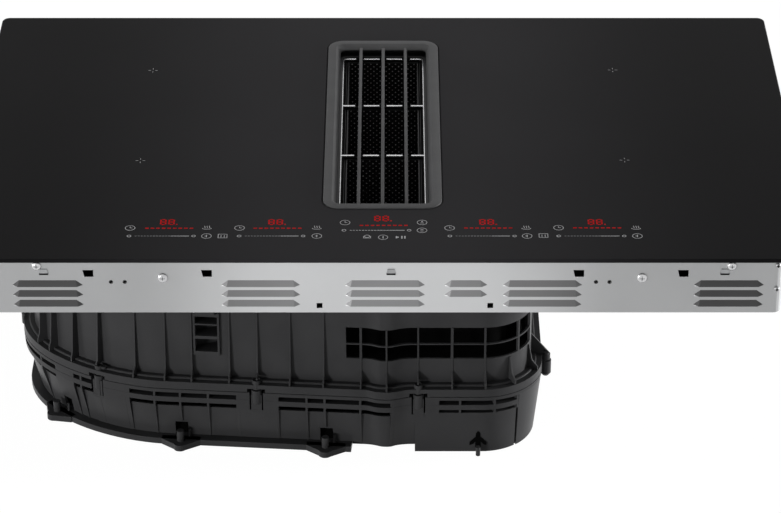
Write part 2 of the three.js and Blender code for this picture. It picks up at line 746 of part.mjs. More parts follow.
function tray() {
  const outer = roundedRect(trayWidth, trayDepth, TRAY_CORNER);
  const body = slab(outer, trayFoot, trayTop);
  const room = roundedRect(trayWidth - 2 * SHEET, trayDepth - 2 * SHEET, TRAY_CORNER - SHEET);
  const mouth = roundedRect(trayWidth - 2 * TRAY_FLANGE, trayDepth - 2 * TRAY_FLANGE, 2);
  const neck = collarWidth() + 2 * FIT;
  const neckLength = collarLength() + 2 * FIT;
  const floorHole = roundedRect(neck, neckLength, CHUTE_CORNER + FIT, 0, VENT_Y);
  const shell = cut(
    body,
    slab(room, trayFloor, trayTop - SHEET),
    slab(mouth, trayFloor + 1, trayTop + 1),
    slab(floorHole, trayFoot - 1, trayFloor + 1),
    coolerIntakes(),
  );
  const front = louvresOn(FRONT_LOUVRES, acrossTray, (solid) => (
    solid.translate([0, -trayDepth / 2, 0])
  ));
  const back = louvresOn(BACK_LOUVRES, acrossTray, (solid) => (
    solid.rotate([0, 0, 180]).translate([0, trayDepth / 2, 0])
  ));
  const left = louvresOn(SIDE_LOUVRES, alongTray, (solid) => (
    solid.rotate([0, 0, -90]).translate([-trayWidth / 2, 0, 0])
  ));
  const right = louvresOn(SIDE_LOUVRES, alongTray, (solid) => (
    solid.rotate([0, 0, 90]).translate([trayWidth / 2, 0, 0])
  ));
  const all = [front, back, left, right];
  const walls = join(shell, ...all.map(({ hoods }) => hoods));
  const backWall = trayDepth / 2;
  const behind = backWall + SHEET;
  const glandHole = rodAlongY(GLAND_X, glandZ, GLAND_RADIUS + FIT, backWall - 3 * SHEET, behind, 12);
  return cut(
    walls,
    ...all.map(({ openings }) => openings),
    frontHoles(),
    screwHoles(TRAY_SCREWS, TRAY_SCREW_DROP),
    screwHoles(CLAMP_SCREWS, CLAMP_SCREW_DROP),
    glandHole,
  );
}

// A round-headed screw in the tray's front wall: shank, flange and dome turned as one.
function traySheetScrew(x, drop, radius) {
  const wall = -trayDepth / 2;
  const dome = SCREW_DOME * radius;
  const profile = [
    [0, -SCREW_LENGTH], [SHANK_RADIUS, -SCREW_LENGTH], [SHANK_RADIUS, 0], [radius, 0],
    [radius, SCREW_FLANGE], [0.7 * radius, SCREW_FLANGE + 0.7 * dome], [0, SCREW_FLANGE + dome],
  ];
  const screw = turned(profile, 0, 0, 10);
  return screw.rotate([90, 0, 0]).translate([acrossTray(x), wall, GLASS_HEIGHT - drop]);
}

// ---------------------------------------------------------------- vent: grille, collar, filter, container

function ventGrille() {
  const body = new THREE.ExtrudeGeometry(
    new THREE.Shape(roundedRect(FRAME_WIDTH, frameLength, FRAME_CORNER, 0, VENT_Y).getPoints(3)),
    { depth: FRAME_HEIGHT - 2, bevelThickness: 1, bevelSize: 1, bevelOffset: -1, bevelSegments: 1 },
  );
  body.translate(0, 0, frameFoot + 1);
  const edge = FRAME_RIM;
  const deep = FRAME_RIM + FRAME_SLOPE;
  const well = (strip, z) => ({
    points: rectPoints(FRAME_WIDTH - 2 * strip, frameLength - 2 * strip, FRAME_CORNER - edge, 0, VENT_Y),
    z,
  });
  const slope = FRAME_HEIGHT - 3;
  const throat = loft([well(deep, frameFoot - 1), well(deep, frameTop - slope), well(edge, frameTop + 0.01)]);
  const bars = [-1, 0, 1].map((place) => {
    const x = place * BAR_PITCH;
    const half = frameLength / 2 - FRAME_RIM - 1;
    const top = frameTop - BAR_DROP;
    return block(x - BAR_WIDTH / 2, x + BAR_WIDTH / 2, VENT_Y - half, VENT_Y + half, top - BAR_HEIGHT, top);
  });
  return join(cut(toSolid(body), throat), bars);
}

function wellWidth() {
  return FRAME_WIDTH + 2 * GLASS_GAP;
}

function wellLength() {
  return frameLength + 2 * GLASS_GAP;
}

function rimWidth() {
  return FRAME_WIDTH - 2 * (FRAME_RIM + FRAME_SLOPE) - 2 * FIT;
}

function rimLength() {
  return frameLength - 2 * (FRAME_RIM + FRAME_SLOPE) - 2 * FIT;
}

function collarWidth() {
  return rimWidth() + 2 * FIT + 2 * COLLAR_WALL + 2 * NECK_SIDE_ROOM;
}

function collarLength() {
  return rimLength() + 2 * FIT + 2 * COLLAR_WALL + 2 * NECK_END_ROOM;
}

function inletCollar() {
  const top = glassFoot - BEAD_THICK;
  const ledgeFoot = rimSeat - LEDGE_THICK;
  const wide = wellWidth() + 2 * COLLAR_WALL;
  const long = wellLength() + 2 * COLLAR_WALL;
  const corner = FRAME_CORNER + GLASS_GAP;
  const neck = collarWidth();
  const neckLength = collarLength();
  const wall = 2 * COLLAR_WALL;
  const well = (width, length, radius, z0, z1) => slab(roundedRect(width, length, radius, 0, VENT_Y), z0, z1);
  const flangeWide = wide + 2 * COLLAR_FLANGE;
  const flangeLong = long + 2 * COLLAR_FLANGE;
  const flange = well(flangeWide, flangeLong, corner + COLLAR_FLANGE, top - COLLAR_WALL, top);
  const cup = well(wide, long, corner + COLLAR_WALL, ledgeFoot, top);
  const chute = well(neck, neckLength, CHUTE_CORNER, collarFoot, ledgeFoot + 1);
  const grilleSeat = well(wellWidth(), wellLength(), corner, collarLedge, top + 1);
  const rimPocket = well(rimWidth() + 2 * FIT, rimLength() + 2 * FIT, RIM_CORNER + FIT, rimSeat, top + 1);
  const mouth = well(mouthWidth(), mouthLength(), MOUTH_CORNER, ledgeFoot - 1, top + 1);
  const duct = well(neck - wall, neckLength - wall, CHUTE_CORNER - COLLAR_WALL, collarFoot - 1, ledgeFoot);
  return cut(join(flange, cup, chute), grilleSeat, rimPocket, mouth, duct);
}

function mouthWidth() {
  return FILTER_WIDTH + 2 * FIT + 2 * MOUTH_ROOM;
}

function mouthLength() {
  return rimLength() - 2 * RIM_STRIP + 2 * FIT;
}

function collarSeal() {
  const wide = wellWidth() + 2 * COLLAR_WALL + 2 * COLLAR_FLANGE;
  const long = wellLength() + 2 * COLLAR_WALL + 2 * COLLAR_FLANGE;
  const corner = FRAME_CORNER + GLASS_GAP + COLLAR_FLANGE;
  return flatRing(wide, long, corner, COLLAR_FLANGE, glassFoot - BEAD_THICK, glassFoot, VENT_Y);
}

function filterLength() {
  return mouthLength() - 2 * FIT - MOUTH_ROOM;
}

// The filter's bright rim: a flat frame with four plates that divide and close the basket.
function filterRim() {
  const outer = roundedRect(rimWidth(), rimLength(), RIM_CORNER, 0, VENT_Y);
  const inner = roundedRect(rimWidth() - 2 * RIM_STRIP, rimLength() - 2 * RIM_STRIP, 2, 0, VENT_Y);
  const frame = slab(outer, rimFoot, rimTop, [inner]);
  const reach = filterInside();
  const start = VENT_Y - filterLength() / 2;
  const cell = (filterLength() - CELL_PLATE) / FILTER_CELLS;
  const pieces = [];
  for (let place = 0; place <= FILTER_CELLS; place += 1) {
    const y = start + place * cell;
    const atEnd = place === 0 || place === FILTER_CELLS;
    const lap = atEnd ? RIM_STRIP : 0;
    const half = atEnd ? reach : rimWidth() / 2 - 1;
    pieces.push(block(-reach, reach, y, y + CELL_PLATE, filterFoot + FILTER_SHEET, rimTop));
    pieces.push(block(-half, half, y - lap, y + CELL_PLATE + lap, rimFoot, rimTop));
  }
  return join(frame, pieces);
}

// Half the room between the filter's two sides.
function filterInside() {
  return FILTER_WIDTH / 2 - FILTER_SHEET - 0.01;
}

// One long perforated side of the filter, with rows of slots.
function filterPanel(side) {
  const x = side * (FILTER_WIDTH / 2 - FILTER_SHEET / 2);
  const start = VENT_Y - filterLength() / 2;
  const pitch = filterLength() / PANEL_COLUMNS;
  const rise = (rimFoot - filterFoot) / PANEL_ROWS;
  const half = FILTER_SHEET / 2;
  const sheet = block(x - half, x + half, start, start + filterLength(), filterFoot, rimFoot);
  const holes = [];
  for (let column = 0; column < PANEL_COLUMNS; column += 1) {
    for (let row = 0; row < PANEL_ROWS; row += 1) {
      const y = start + (column + 0.5) * pitch;
      const z = filterFoot + (row + 0.5) * rise;
      const long = (pitch - PANEL_WEB) / 2;
      const high = (rise - PANEL_WEB) / 2;
      holes.push(block(x - 2 * half, x + 2 * half, y - long, y + long, z - high, z + high));
    }
  }
  return cut(sheet, holes);
}

function filterFloor() {
  const half = filterLength() / 2;
  const reach = filterInside();
  return block(-reach, reach, VENT_Y - half, VENT_Y + half, filterFoot, filterFoot + FILTER_SHEET);
}

function dripContainer() {
  const length = filterLength() - 2 * CONTAINER_SETBACK;
  const outer = roundedRect(FILTER_WIDTH, length, CONTAINER_CORNER, 0, VENT_Y);
  const wall = 2 * CONTAINER_WALL;
  const inner = roundedRect(FILTER_WIDTH - wall, length - wall, CONTAINER_CORNER - CONTAINER_WALL, 0, VENT_Y);
  return cut(
    slab(outer, containerFoot, containerTop),
    slab(inner, containerFoot + CONTAINER_WALL, containerTop + 1),
  );
}

// ---------------------------------------------------------------- blower housing

function backRibs() {
  const whole = rim.reduce((sum, point, i) => sum + point.distanceTo(rim[(i + 1) % rim.length]), 0);
  const clearOfDuct = ({ at }) => Math.abs(at.x - DUCT_X) > DUCT_WIDTH / 2 + 2 * DUCT_FLANGE || at.y < 0;
  const behind = ({ at }) => at.y > BACK_RIBS_FROM && clearOfDuct({ at });
  return rimStations(BACK_RIB_START, whole, BACK_RIB_PITCH).filter(behind);
}

function ductCut() {
  const half = DUCT_WIDTH / 2 - DUCT_WALL;
  const z0 = DUCT_FOOT + DUCT_WALL;
  const z1 = DUCT_FOOT + DUCT_HEIGHT - DUCT_WALL;
  const y0 = HOUSING_BACK - 2 * WALL_INSET - SHELL_WALL;
  return block(DUCT_X - half, DUCT_X + half, y0, HOUSING_BACK + 1, z0, z1);
}

function ductPad(z0, z1) {
  const x0 = DUCT_X - DUCT_WIDTH / 2 - DUCT_FLANGE;
  const x1 = DUCT_X + DUCT_WIDTH / 2 + DUCT_FLANGE;
  return block(x0, x1, HOUSING_BACK - WALL_INSET - SHELL_WALL, HOUSING_BACK, z0, z1);
}

function upperHousing() {
  const inner = WALL_INSET + SHELL_WALL;
  const wall = shellRing(WALL_INSET, inner, SPLIT, shellTop);
  const skirt = shellRing(0, inner, SPLIT, BAND_TOP);
  const footFlange = shellRing(FOOT_SETBACK, inner, BAND_TOP, BAND_TOP + FOOT_FLANGE);
  const ledge = shellRing(WALL_INSET + 1, inner + PLATE_LEDGE, PLATE_HEIGHT - PLATE_LEDGE / 2, PLATE_HEIGHT);
  const profile = [
    [-WALL_INSET - 1, shellTop - RIB_TOP_DROP], [-WALL_INSET + RIB_TOP_DEPTH, shellTop - RIB_TOP_DROP],
    [-RIB_TOP_DEPTH, BAND_TOP], [-WALL_INSET - 1, BAND_TOP],
  ];
  const ribs = [...FRONT_RIBS.map(frontPoint), ...backRibs()].map((station) => rib(station, profile));
  const towerTop = SPLIT + BOSS_TOP_HEIGHT;
  const pad = ductPad(SPLIT, DUCT_FOOT + DUCT_HEIGHT + DUCT_FLANGE);
  const shell = cut(join(wall, skirt, footFlange, ledge, ribs), bossRoom(SPLIT, towerTop + SCREW_HEIGHT));
  const bosses = bossPillars(BOSS_TOP_RADIUS, SPLIT, towerTop);
  const solid = join(shell, windowBoxes(), pocketBlock(), bosses, gussets(), pad);
  const rows = [[WINDOW_TOP, WINDOW_SHELF_TOP], [WINDOW_SHELF_FOOT, WINDOW_FOOT]];
  const windows = rows.flatMap(([high, low]) => WINDOWS.map(([x0, x1]) => windowCut(x0, x1, low, high)));
  const pockets = POCKETS.map(([high, low]) => pocketCut(low, high));
  const sinks = bossCentres().map(({ x, y }) => (
    pillar(x, y, SCREW_HEAD + FIT, towerTop - SCREW_SINK, towerTop + 1, 12)
  ));
  return cut(solid, windows, pockets, sinks, ductCut());
}

// The boxed wall behind the rows of windows, round the front's right part.
function windowBoxes() {
  const depth = WALL_INSET + WINDOW_DEPTH + BOX_WALL;
  return cut(
    shellRing(WALL_INSET, depth, WINDOW_FOOT - BOX_WALL, WINDOW_TOP + BOX_WALL),
    block(HOUSING_LEFT, WINDOWS[0][0] - BOX_WALL, -GLASS_DEPTH, GLASS_DEPTH, 0, shellTop),
    block(HOUSING_LEFT, HOUSING_RIGHT, BOXES_BACK, GLASS_DEPTH, 0, shellTop),
  );
}

// The block with three pockets on the front's left part, a little proud of the wall.
function pocketBlock() {
  const [top] = POCKETS[0];
  const foot = POCKETS[POCKETS.length - 1][1];
  const ring = shellRing(
    WALL_INSET - POCKET_PROUD, WALL_INSET + POCKET_DEPTH + BOX_WALL,
    foot - POCKET_MARGIN, top + POCKET_MARGIN,
  );
  const front = block(
    POCKET_LEFT - BOX_WALL, POCKET_RIGHT + BOX_WALL, -GLASS_DEPTH, BOXES_BACK, 0, shellTop,
  );
  return ring.intersect(front);
}

// A pocket's room, which gets deeper from its left end to its right end.
function pocketCut(z0, z1) {
  const corner = (x, depth) => {
    const { at, out } = frontPoint(x);
    return at.clone().addScaledVector(out, -depth);
  };
  const outline = new THREE.Shape([
    corner(POCKET_LEFT, -POCKET_PROUD), corner(POCKET_RIGHT, -POCKET_PROUD),
    corner(POCKET_RIGHT, WALL_INSET + POCKET_DEPTH), corner(POCKET_LEFT, WALL_INSET + POCKET_SHALLOW),
  ]);
  return slab(outline, z0, z1);
}

// The room of a window from x0 to x1, from outside the housing to the back of its box.
function windowCut(x0, x1, z0, z1) {
  const band = shellRing(-POCKET_PROUD, WALL_INSET + WINDOW_DEPTH, z0, z1);
  return band.intersect(block(x0, x1, -GLASS_DEPTH, BOXES_BACK + WINDOW_DEPTH, z0 - 1, z1 + 1));
}

// The bosses that join the shells: one ear at each side, and those in the band's front.
function bossStations() {
  const ear = (x, y, side) => ({ at: new THREE.Vector2(x, y), out: new THREE.Vector2(side, 0), reach: EAR_REACH });
  const front = BAND_BOSSES.map(frontPoint).map((station) => ({ ...station, reach: -BOSS_SETBACK }));
  return [ear(HOUSING_LEFT, LEFT_BOSS_Y, -1), ...front, ear(HOUSING_RIGHT, RIGHT_BOSS_Y, 1)];
}

function bossCentres() {
  return bossStations().map(({ at, out, reach }) => at.clone().addScaledVector(out, reach));
}

// The gap round each boss in the band.
function bossRoom(z0, z1) {
  return bossCentres().map(({ x, y }) => pillar(x, y, BOSS_RADIUS + BOSS_SLIT, z0 - 1, z1, 14));
}

// Each boss with the web that carries it from the wall.
function bossPillars(radius, z0, z1) {
  return bossStations().flatMap((station) => {
    const { at, out, reach } = station;
    const centre = at.clone().addScaledVector(out, reach);
    const profile = [[-WALL_INSET - 1, z0], [reach, z0], [reach, z1], [-WALL_INSET - 1, z1]];
    return [pillar(centre.x, centre.y, radius, z0, z1, 12), rib(station, profile, BOSS_WEB)];
  });
}

// A sloping plate above each side boss.
function gussets() {
  const foot = SPLIT + BOSS_TOP_HEIGHT - SCREW_SINK;
  return bossStations().filter(({ reach }) => reach > 0).map((station) => rib(station, [
    [-WALL_INSET - 1, foot], [-BOSS_TOP_RADIUS / 2, foot],
    [-BOSS_TOP_RADIUS / 2, foot + SCREW_SINK], [-WALL_INSET - 1, foot + SCREW_SINK + GUSSET_RISE],
  ]));
}

function lowerHousing() {
  const inner = WALL_INSET + SHELL_WALL;
  const foot = COVER_HEIGHT;
  const bandFoot = BAND_TOP - BAND_HEIGHT;
  const wall = shellRing(WALL_INSET, inner, foot, SPLIT);
  const band = shellRing(0, inner, bandFoot, SPLIT);
  const fin = shellRing(0, inner, FIN_FOOT, FIN_TOP);
  const ribTop = (bandFoot + SPLIT) / 2;
  const profile = [
    [-WALL_INSET - 1, foot], [-WALL_INSET + RIB_TOP_DEPTH, foot],
    [-RIB_TOP_DEPTH, ribTop], [-WALL_INSET - 1, ribTop],
  ];
  const ribs = [...LOWER_RIBS.map(frontPoint), ...backRibs()].map((station) => rib(station, profile));
  const right = block(COVER_RIGHT, GLASS_WIDTH, -GLASS_DEPTH, GLASS_DEPTH, -1, SPLIT);
  const rightWall = shellRing(WALL_INSET, inner, 0, foot + 1).intersect(right);
  const rightFloor = shellPlate(inner - 1, 0, SHELL_WALL).intersect(right);
  const bare = block(BARE_WALL_FROM, GLASS_WIDTH, -GLASS_DEPTH, BOXES_BACK, -1, SPLIT);
  const bareWall = shellRing(BARE_WALL_SETBACK, inner, 0, SLOT_FOOT).intersect(bare);
  const bossFoot = SPLIT - BOSS_DROP;
  const slotted = cut(join(band, fin, ribs, blankBands()), bossRoom(bossFoot, SPLIT + 1));
  const bosses = bossPillars(BOSS_RADIUS, bossFoot, SPLIT);
  const shell = join(wall, slotted, rightWall, rightFloor, bareWall, bosses);
  return cut(join(shell, locatorPin(), ductPad(foot, SPLIT)), ductCut());
}

// The thin pin at the foot of the front, with the web that carries it.
function locatorPin() {
  const { at } = frontPoint(LOCATOR_X);
  const y = at.y - 2 * LOCATOR_RADIUS;
  const pin = pillar(LOCATOR_X, y, LOCATOR_RADIUS, 0, LOCATOR_HEIGHT, 10);
  const webFoot = LOCATOR_HEIGHT / 4;
  const web = block(
    LOCATOR_X - LOCATOR_RADIUS, LOCATOR_X + LOCATOR_RADIUS, y, at.y + WALL_INSET, webFoot, LOCATOR_HEIGHT,
  );
  return join(pin, web);
}

// Plain stretches of wall where the front has no slots.
function blankBands() {
  const z0 = SLOT_FOOT;
  const z1 = BAND_TOP - BAND_HEIGHT + 1;
  const ring = shellRing(0, WALL_INSET + 1, z0, z1);
  return BLANKS.map(([x0, x1]) => ring.intersect(block(x0, x1, -GLASS_DEPTH, BOXES_BACK, z0 - 1, z1 + 1)));
}

// A rounded lobe that carries a screw outside the rim of the bottom cover.
function lobe({ at, out }, z0, z1) {
  const shape = new THREE.Shape();
  shape.moveTo(-LOBE_HALF, -LOBE_RADIUS);
  shape.lineTo(LOBE_HALF, -LOBE_RADIUS);
  shape.lineTo(LOBE_HALF, 0);
  shape.absarc(0, LOBE_REACH - LOBE_RADIUS, LOBE_RADIUS, 0.2 * Math.PI, 0.8 * Math.PI);
  shape.lineTo(-LOBE_HALF, 0);
  const turn = Math.atan2(out.y, out.x) - Math.PI / 2;
  return slab(shape, z0, z1).rotate([0, 0, THREE.MathUtils.radToDeg(turn)]).translate([at.x, at.y, 0]);
}

function lobeStations() {
  return [...COVER_LOBES.map(frontPoint), ...BACK_LOBES.map((x) => wallPoint(x, false))];
}

function bottomCover() {
  const top = COVER_HEIGHT - FIT;
  const left = block(-GLASS_WIDTH, COVER_RIGHT - FIT, -GLASS_DEPTH, GLASS_DEPTH, -1, top + 1);
  const plate = shellPlate(1, 0, SHELL_WALL);
  const edge = shellRing(0, WALL_INSET + 2 * SHELL_WALL, 0, top);
  const lobes = lobeStations().map((station) => lobe(station, 0, top));
  const pins = lobeStations().map(({ at, out }) => {
    const centre = at.clone().addScaledVector(out, LOBE_REACH - LOBE_RADIUS - LOBE_PIN_SETBACK);
    return pillar(centre.x, centre.y, LOBE_PIN_RADIUS, 0, COVER_HEIGHT + LOBE_PIN_HEIGHT, 10);
  });
  return cut(join(join(plate, edge).intersect(left), lobes, pins), motorSeatHoles());
}

function motorSeatHoles() {
  const r = MOTOR_RADIUS + BRACKET_REACH;
  return bracketAngles().map((angle) => {
    const x = FAN_X + r * Math.cos(angle);
    const y = FAN_Y + r * Math.sin(angle);
    return pillar(x, y, BRACKET_HOLE, -1, SHELL_WALL + 1, 6);
  });
}

function bracketAngles() {
  return [0, 1, 2].map((place) => BRACKET_TURN + (place / 3) * 2 * Math.PI);
}

// A screw's head, sunk in the top of its boss.
function bossScrew({ x, y }) {
  const z = SPLIT + BOSS_TOP_HEIGHT - SCREW_SINK;
  return pillar(x, y, SCREW_HEAD, z, z + SCREW_HEIGHT, 12);
}

function outletSpigot() {
  const back = HOUSING_BACK;
  const shape = (grow, y0, y1) => {
    const outline = roundedRect(DUCT_WIDTH + 2 * grow, DUCT_HEIGHT + 2 * grow, DUCT_CORNER + grow);
    const geometry = new THREE.ExtrudeGeometry(
      new THREE.Shape(outline.getPoints(2)),
      { depth: y1 - y0, bevelEnabled: false },
    );
    geometry.rotateX(Math.PI / 2);
    geometry.translate(DUCT_X, y1, DUCT_FOOT + DUCT_HEIGHT / 2);
    return toSolid(geometry);
  };
  const flange = shape(DUCT_FLANGE - 1, back, back + SPIGOT_FLANGE);
  const tube = shape(0, back, back + DUCT_REACH);
  return cut(join(flange, tube), shape(-DUCT_WALL, back - 1, back + DUCT_REACH + 1));
}

// ---------------------------------------------------------------- fan

function fanInletPlate() {
  const foot = PLATE_HEIGHT;
  const top = shelfTop;
  const plate = shellPlate(WALL_INSET + SHELL_WALL + FIT, foot, top);
  const boxDepth = WALL_INSET + WINDOW_DEPTH + BOX_WALL + FIT;
  const boxRoom = cut(
    shellRing(WALL_INSET, boxDepth, foot - 1, top + 1),
    block(HOUSING_LEFT, WINDOWS[0][0] - BOX_WALL - FIT, -GLASS_DEPTH, GLASS_DEPTH, 0, shellTop),
    block(HOUSING_LEFT, HOUSING_RIGHT, BOXES_BACK + FIT, GLASS_DEPTH, 0, shellTop),
  );
  const pocketMargin = BOX_WALL + FIT;
  const pocketFront = block(
    POCKET_LEFT - pocketMargin, POCKET_RIGHT + pocketMargin, -GLASS_DEPTH, BOXES_BACK, 0, shellTop,
  );
  const pocketDepth = WALL_INSET + POCKET_DEPTH + pocketMargin;
  const pocketRoom = shellRing(0, pocketDepth, foot - 1, top + 1).intersect(pocketFront);
  const eye = pillar(FAN_X, FAN_Y, EYE_RADIUS, foot - 1, top + 1, 24);
  const inside = EYE_RADIUS - LIP_WALL;
  const outside = EYE_RADIUS + LIP_CURVE;
  const lip = turned([
    [inside, foot - LIP_DROP], [EYE_RADIUS, foot - LIP_DROP], [EYE_RADIUS + LIP_WALL, foot + 0.5],
    [outside, foot + 1], [outside, top], [EYE_RADIUS + LIP_WALL, top],
    [inside, foot], [inside, foot - LIP_DROP],
  ], FAN_X, FAN_Y, 20);
  return join(cut(plate, boxRoom, pocketRoom, eye), lip);
}

function impeller() {
  const r = IMPELLER_RADIUS;
  const foot = IMPELLER_FOOT;
  const hubTop = foot + MOTOR_HEIGHT;
  const bore = SHAFT_RADIUS + FIT;
  const bell = MOTOR_RADIUS + HUB_ROOM;
  const dish = turned([
    [r, foot], [r, foot + HUB_WALL], [bell + 8, foot + 2 * HUB_WALL], [bell + 2, hubTop + HUB_WALL],
    [HUB_RADIUS, hubTop + 2 * HUB_WALL], [HUB_RADIUS, hubTop + HUB_HEIGHT], [bore, hubTop + HUB_HEIGHT],
    [bore, hubTop + HUB_WALL / 2], [bell, hubTop - HUB_WALL / 2], [bell + 5, foot + HUB_WALL],
    [bell + 8, foot], [r, foot],
  ], FAN_X, FAN_Y, 20);
  const shroudInside = r - BLADE_CHORD;
  const ring = turned([
    [shroudInside, impellerTop - SHROUD_WALL], [r, impellerTop - 3 * SHROUD_WALL],
    [r, impellerTop - 2 * SHROUD_WALL], [shroudInside, impellerTop],
    [shroudInside, impellerTop - SHROUD_WALL],
  ], FAN_X, FAN_Y, 20);
  const blades = [];
  for (let i = 0; i < BLADE_COUNT; i += 1) {
    const height = IMPELLER_HEIGHT - 2.5 * SHROUD_WALL;
    const blade = new THREE.BoxGeometry(BLADE_CHORD - 1, BLADE_THICK, height);
    blade.rotateZ(BLADE_LEAN);
    blade.translate(r - BLADE_CHORD / 2 - 1.5, 0, foot + HUB_WALL / 2 + height / 2);
    blade.rotateZ((i / BLADE_COUNT) * 2 * Math.PI);
    blade.translate(FAN_X, FAN_Y, 0);
    blades.push(toSolid(blade));
  }
  return join(dish, ring, blades);
}

function motorShaft() {
  const foot = motorFoot + MOTOR_HEIGHT + FIT;
  return pillar(FAN_X, FAN_Y, SHAFT_RADIUS, foot, IMPELLER_FOOT + MOTOR_HEIGHT + SHAFT_REACH, 16);
}

function motor() {
  const foot = motorFoot;
  const top = foot + MOTOR_HEIGHT;
  const r = MOTOR_RADIUS;
  const boss = 3 * SHAFT_RADIUS;
  return turned([
    [0, foot], [r - MOTOR_CHAMFER, foot], [r, foot + MOTOR_CHAMFER], [r, top - 3 * MOTOR_CHAMFER],
    [r - 2 * MOTOR_CHAMFER, top - MOTOR_CHAMFER], [boss + 4, top - MOTOR_CHAMFER], [boss, top], [0, top],
  ], FAN_X, FAN_Y, 16);
}

function motorBracket() {
  const foot = motorFoot - BRACKET_SHEET;
  const inside = MOTOR_RADIUS - 2 * BRACKET_WIDTH;
  const outside = MOTOR_RADIUS + 3;
  const plate = turned([
    [inside, foot], [outside, foot], [outside, motorFoot], [inside, motorFoot], [inside, foot],
  ], FAN_X, FAN_Y, 16);
  const reach = MOTOR_RADIUS + BRACKET_REACH + 4;
  const half = BRACKET_WIDTH / 2;
  const arms = bracketAngles().map((angle) => {
    const arm = block(MOTOR_RADIUS - half, reach, -half, half, foot, motorFoot);
    const leg = block(reach - 8, reach, -half, half, SHELL_WALL, foot + 1);
    return join(arm, leg).rotate([0, 0, THREE.MathUtils.radToDeg(angle)]).translate([FAN_X, FAN_Y, 0]);
  });
  return join(plate, arms);
}

// ---------------------------------------------------------------- coils and electronics

function coilPlate(side) {
  const x = side * coilX;
  const halfX = (plateOutside - plateInside) / 2;
  const y0 = plateFront;
  const y1 = plateBack;
  const top = carrierFoot;
  const deck = block(x - halfX, x + halfX, y0, y1, top - PLATE_SHEET, top);
  const left = block(x - halfX, x - halfX + PLATE_SHEET, y0, y1, trayFloor, top);
  const right = block(x + halfX - PLATE_SHEET, x + halfX, y0, y1, trayFloor, top);
  const vents = coilPlaces.flatMap((cy) => [-1, 1].map((part) => {
    const vx = x + part * VENT_SLOT_X;
    const long = coilRadius * PLATE_VENT;
    const half = VENT_SLOT_WIDTH / 2;
    return block(vx - half, vx + half, cy - long, cy + long, top - 3 * PLATE_SHEET, top + 1);
  }));
  return cut(join(deck, left, right), vents);
}

function coilCarrier(side, y) {
  const x = side * coilX;
  const disc = pillar(x, y, coilRadius + CARRIER_BORDER, carrierFoot, coilFoot, 20);
  const half = CARRIER_WINDOW / 2;
  const windows = [0, 90, 180, 270].map((angle) => {
    const window = block(2 * half, coilRadius - half / 2, -half, half, carrierFoot - 1, coilFoot + 1);
    return window.rotate([0, 0, angle]).translate([x, y, 0]);
  });
  return cut(disc, windows, pillar(x, y, SENSOR_RADIUS, carrierFoot - 1, coilFoot + 1, 8));
}

function coilWinding(side, y) {
  const x = side * coilX;
  return turned([
    [COIL_BORE, coilFoot], [coilRadius, coilFoot], [coilRadius, coilTop],
    [COIL_BORE, coilTop], [COIL_BORE, coilFoot],
  ], x, y, 24);
}

function coilSensor(side, y) {
  const x = side * coilX;
  const post = pillar(x, y, SENSOR_RADIUS - FIT, carrierFoot, coilFoot, 8);
  const cap = pillar(x, y, SENSOR_RADIUS - 4, coilFoot, glassFoot - FIT, 8);
  return join(post, cap);
}

function powerBoard(side) {
  const x = side * coilX;
  const y0 = coolerY + COOLER_SIZE / 2 + BOARD_GAP;
  const y1 = y0 + boardLength;
  const half = boardWidth / 2;
  const across = (dx) => x + (dx * boardWidth) / BOARD_LAYOUT;
  const board = block(x - half, x + half, y0, y1, boardFoot, boardTop);
  const post = STANDOFF_SIZE;
  const postX = [x - half + post, x + half - 2 * post];
  const postY = [y0 + post, y1 - 2 * post];
  const posts = postX.flatMap((px) => postY.map((py) => (
    block(px, px + post, py, py + post, trayFloor, boardFoot + 0.5)
  )));
  const cans = BOARD_CANS.map(([dx, dy, radius, height]) => (
    pillar(across(dx), y0 + alongTray(dy), radius, boardTop - 0.5, boardTop + height, 8)
  ));
  const boxes = BOARD_BOXES.map(([dx, dy, width, depth, height]) => {
    const left = across(dx);
    const front = y0 + alongTray(dy);
    return block(left, left + width, front, front + depth, boardTop - 0.5, boardTop + height);
  });
  return join(board, posts, cans, boxes);
}

function heatSink(side) {
  const x0 = side * coilX - SINK_WIDTH / 2;
  const y0 = coolerY + COOLER_SIZE / 2 + BOARD_GAP + SINK_SETBACK;
  const y1 = y0 + alongTray(SINK_LENGTH);
  const z0 = boardTop;
  const base = block(x0, x0 + SINK_WIDTH, y0, y1, z0, z0 + SINK_BASE);
  const fins = [];
  const pitch = (SINK_WIDTH - FIN_THICK) / (SINK_FINS - 1);
  for (let i = 0; i < SINK_FINS; i += 1) {
    const x = x0 + i * pitch;
    fins.push(block(x, x + FIN_THICK, y0, y1, z0 + SINK_BASE / 2, z0 + SINK_HEIGHT));
  }
  return join(base, fins);
}

function coolerIntakes() {
  return [-1, 1].flatMap((side) => [-2, -1, 0, 1, 2].map((place) => {
    const x = side * coilX;
    const y = coolerY + place * INTAKE_PITCH;
    const radius = COOLER_SIZE / 2 - 2 * COOLER_WALL;
    const half = Math.sqrt(radius ** 2 - (place * INTAKE_PITCH) ** 2);
    const slot = INTAKE_SLOT / 2;
    return block(x - half, x + half, y - slot, y + slot, trayFoot - 1, trayFloor + 1);
  }));
}

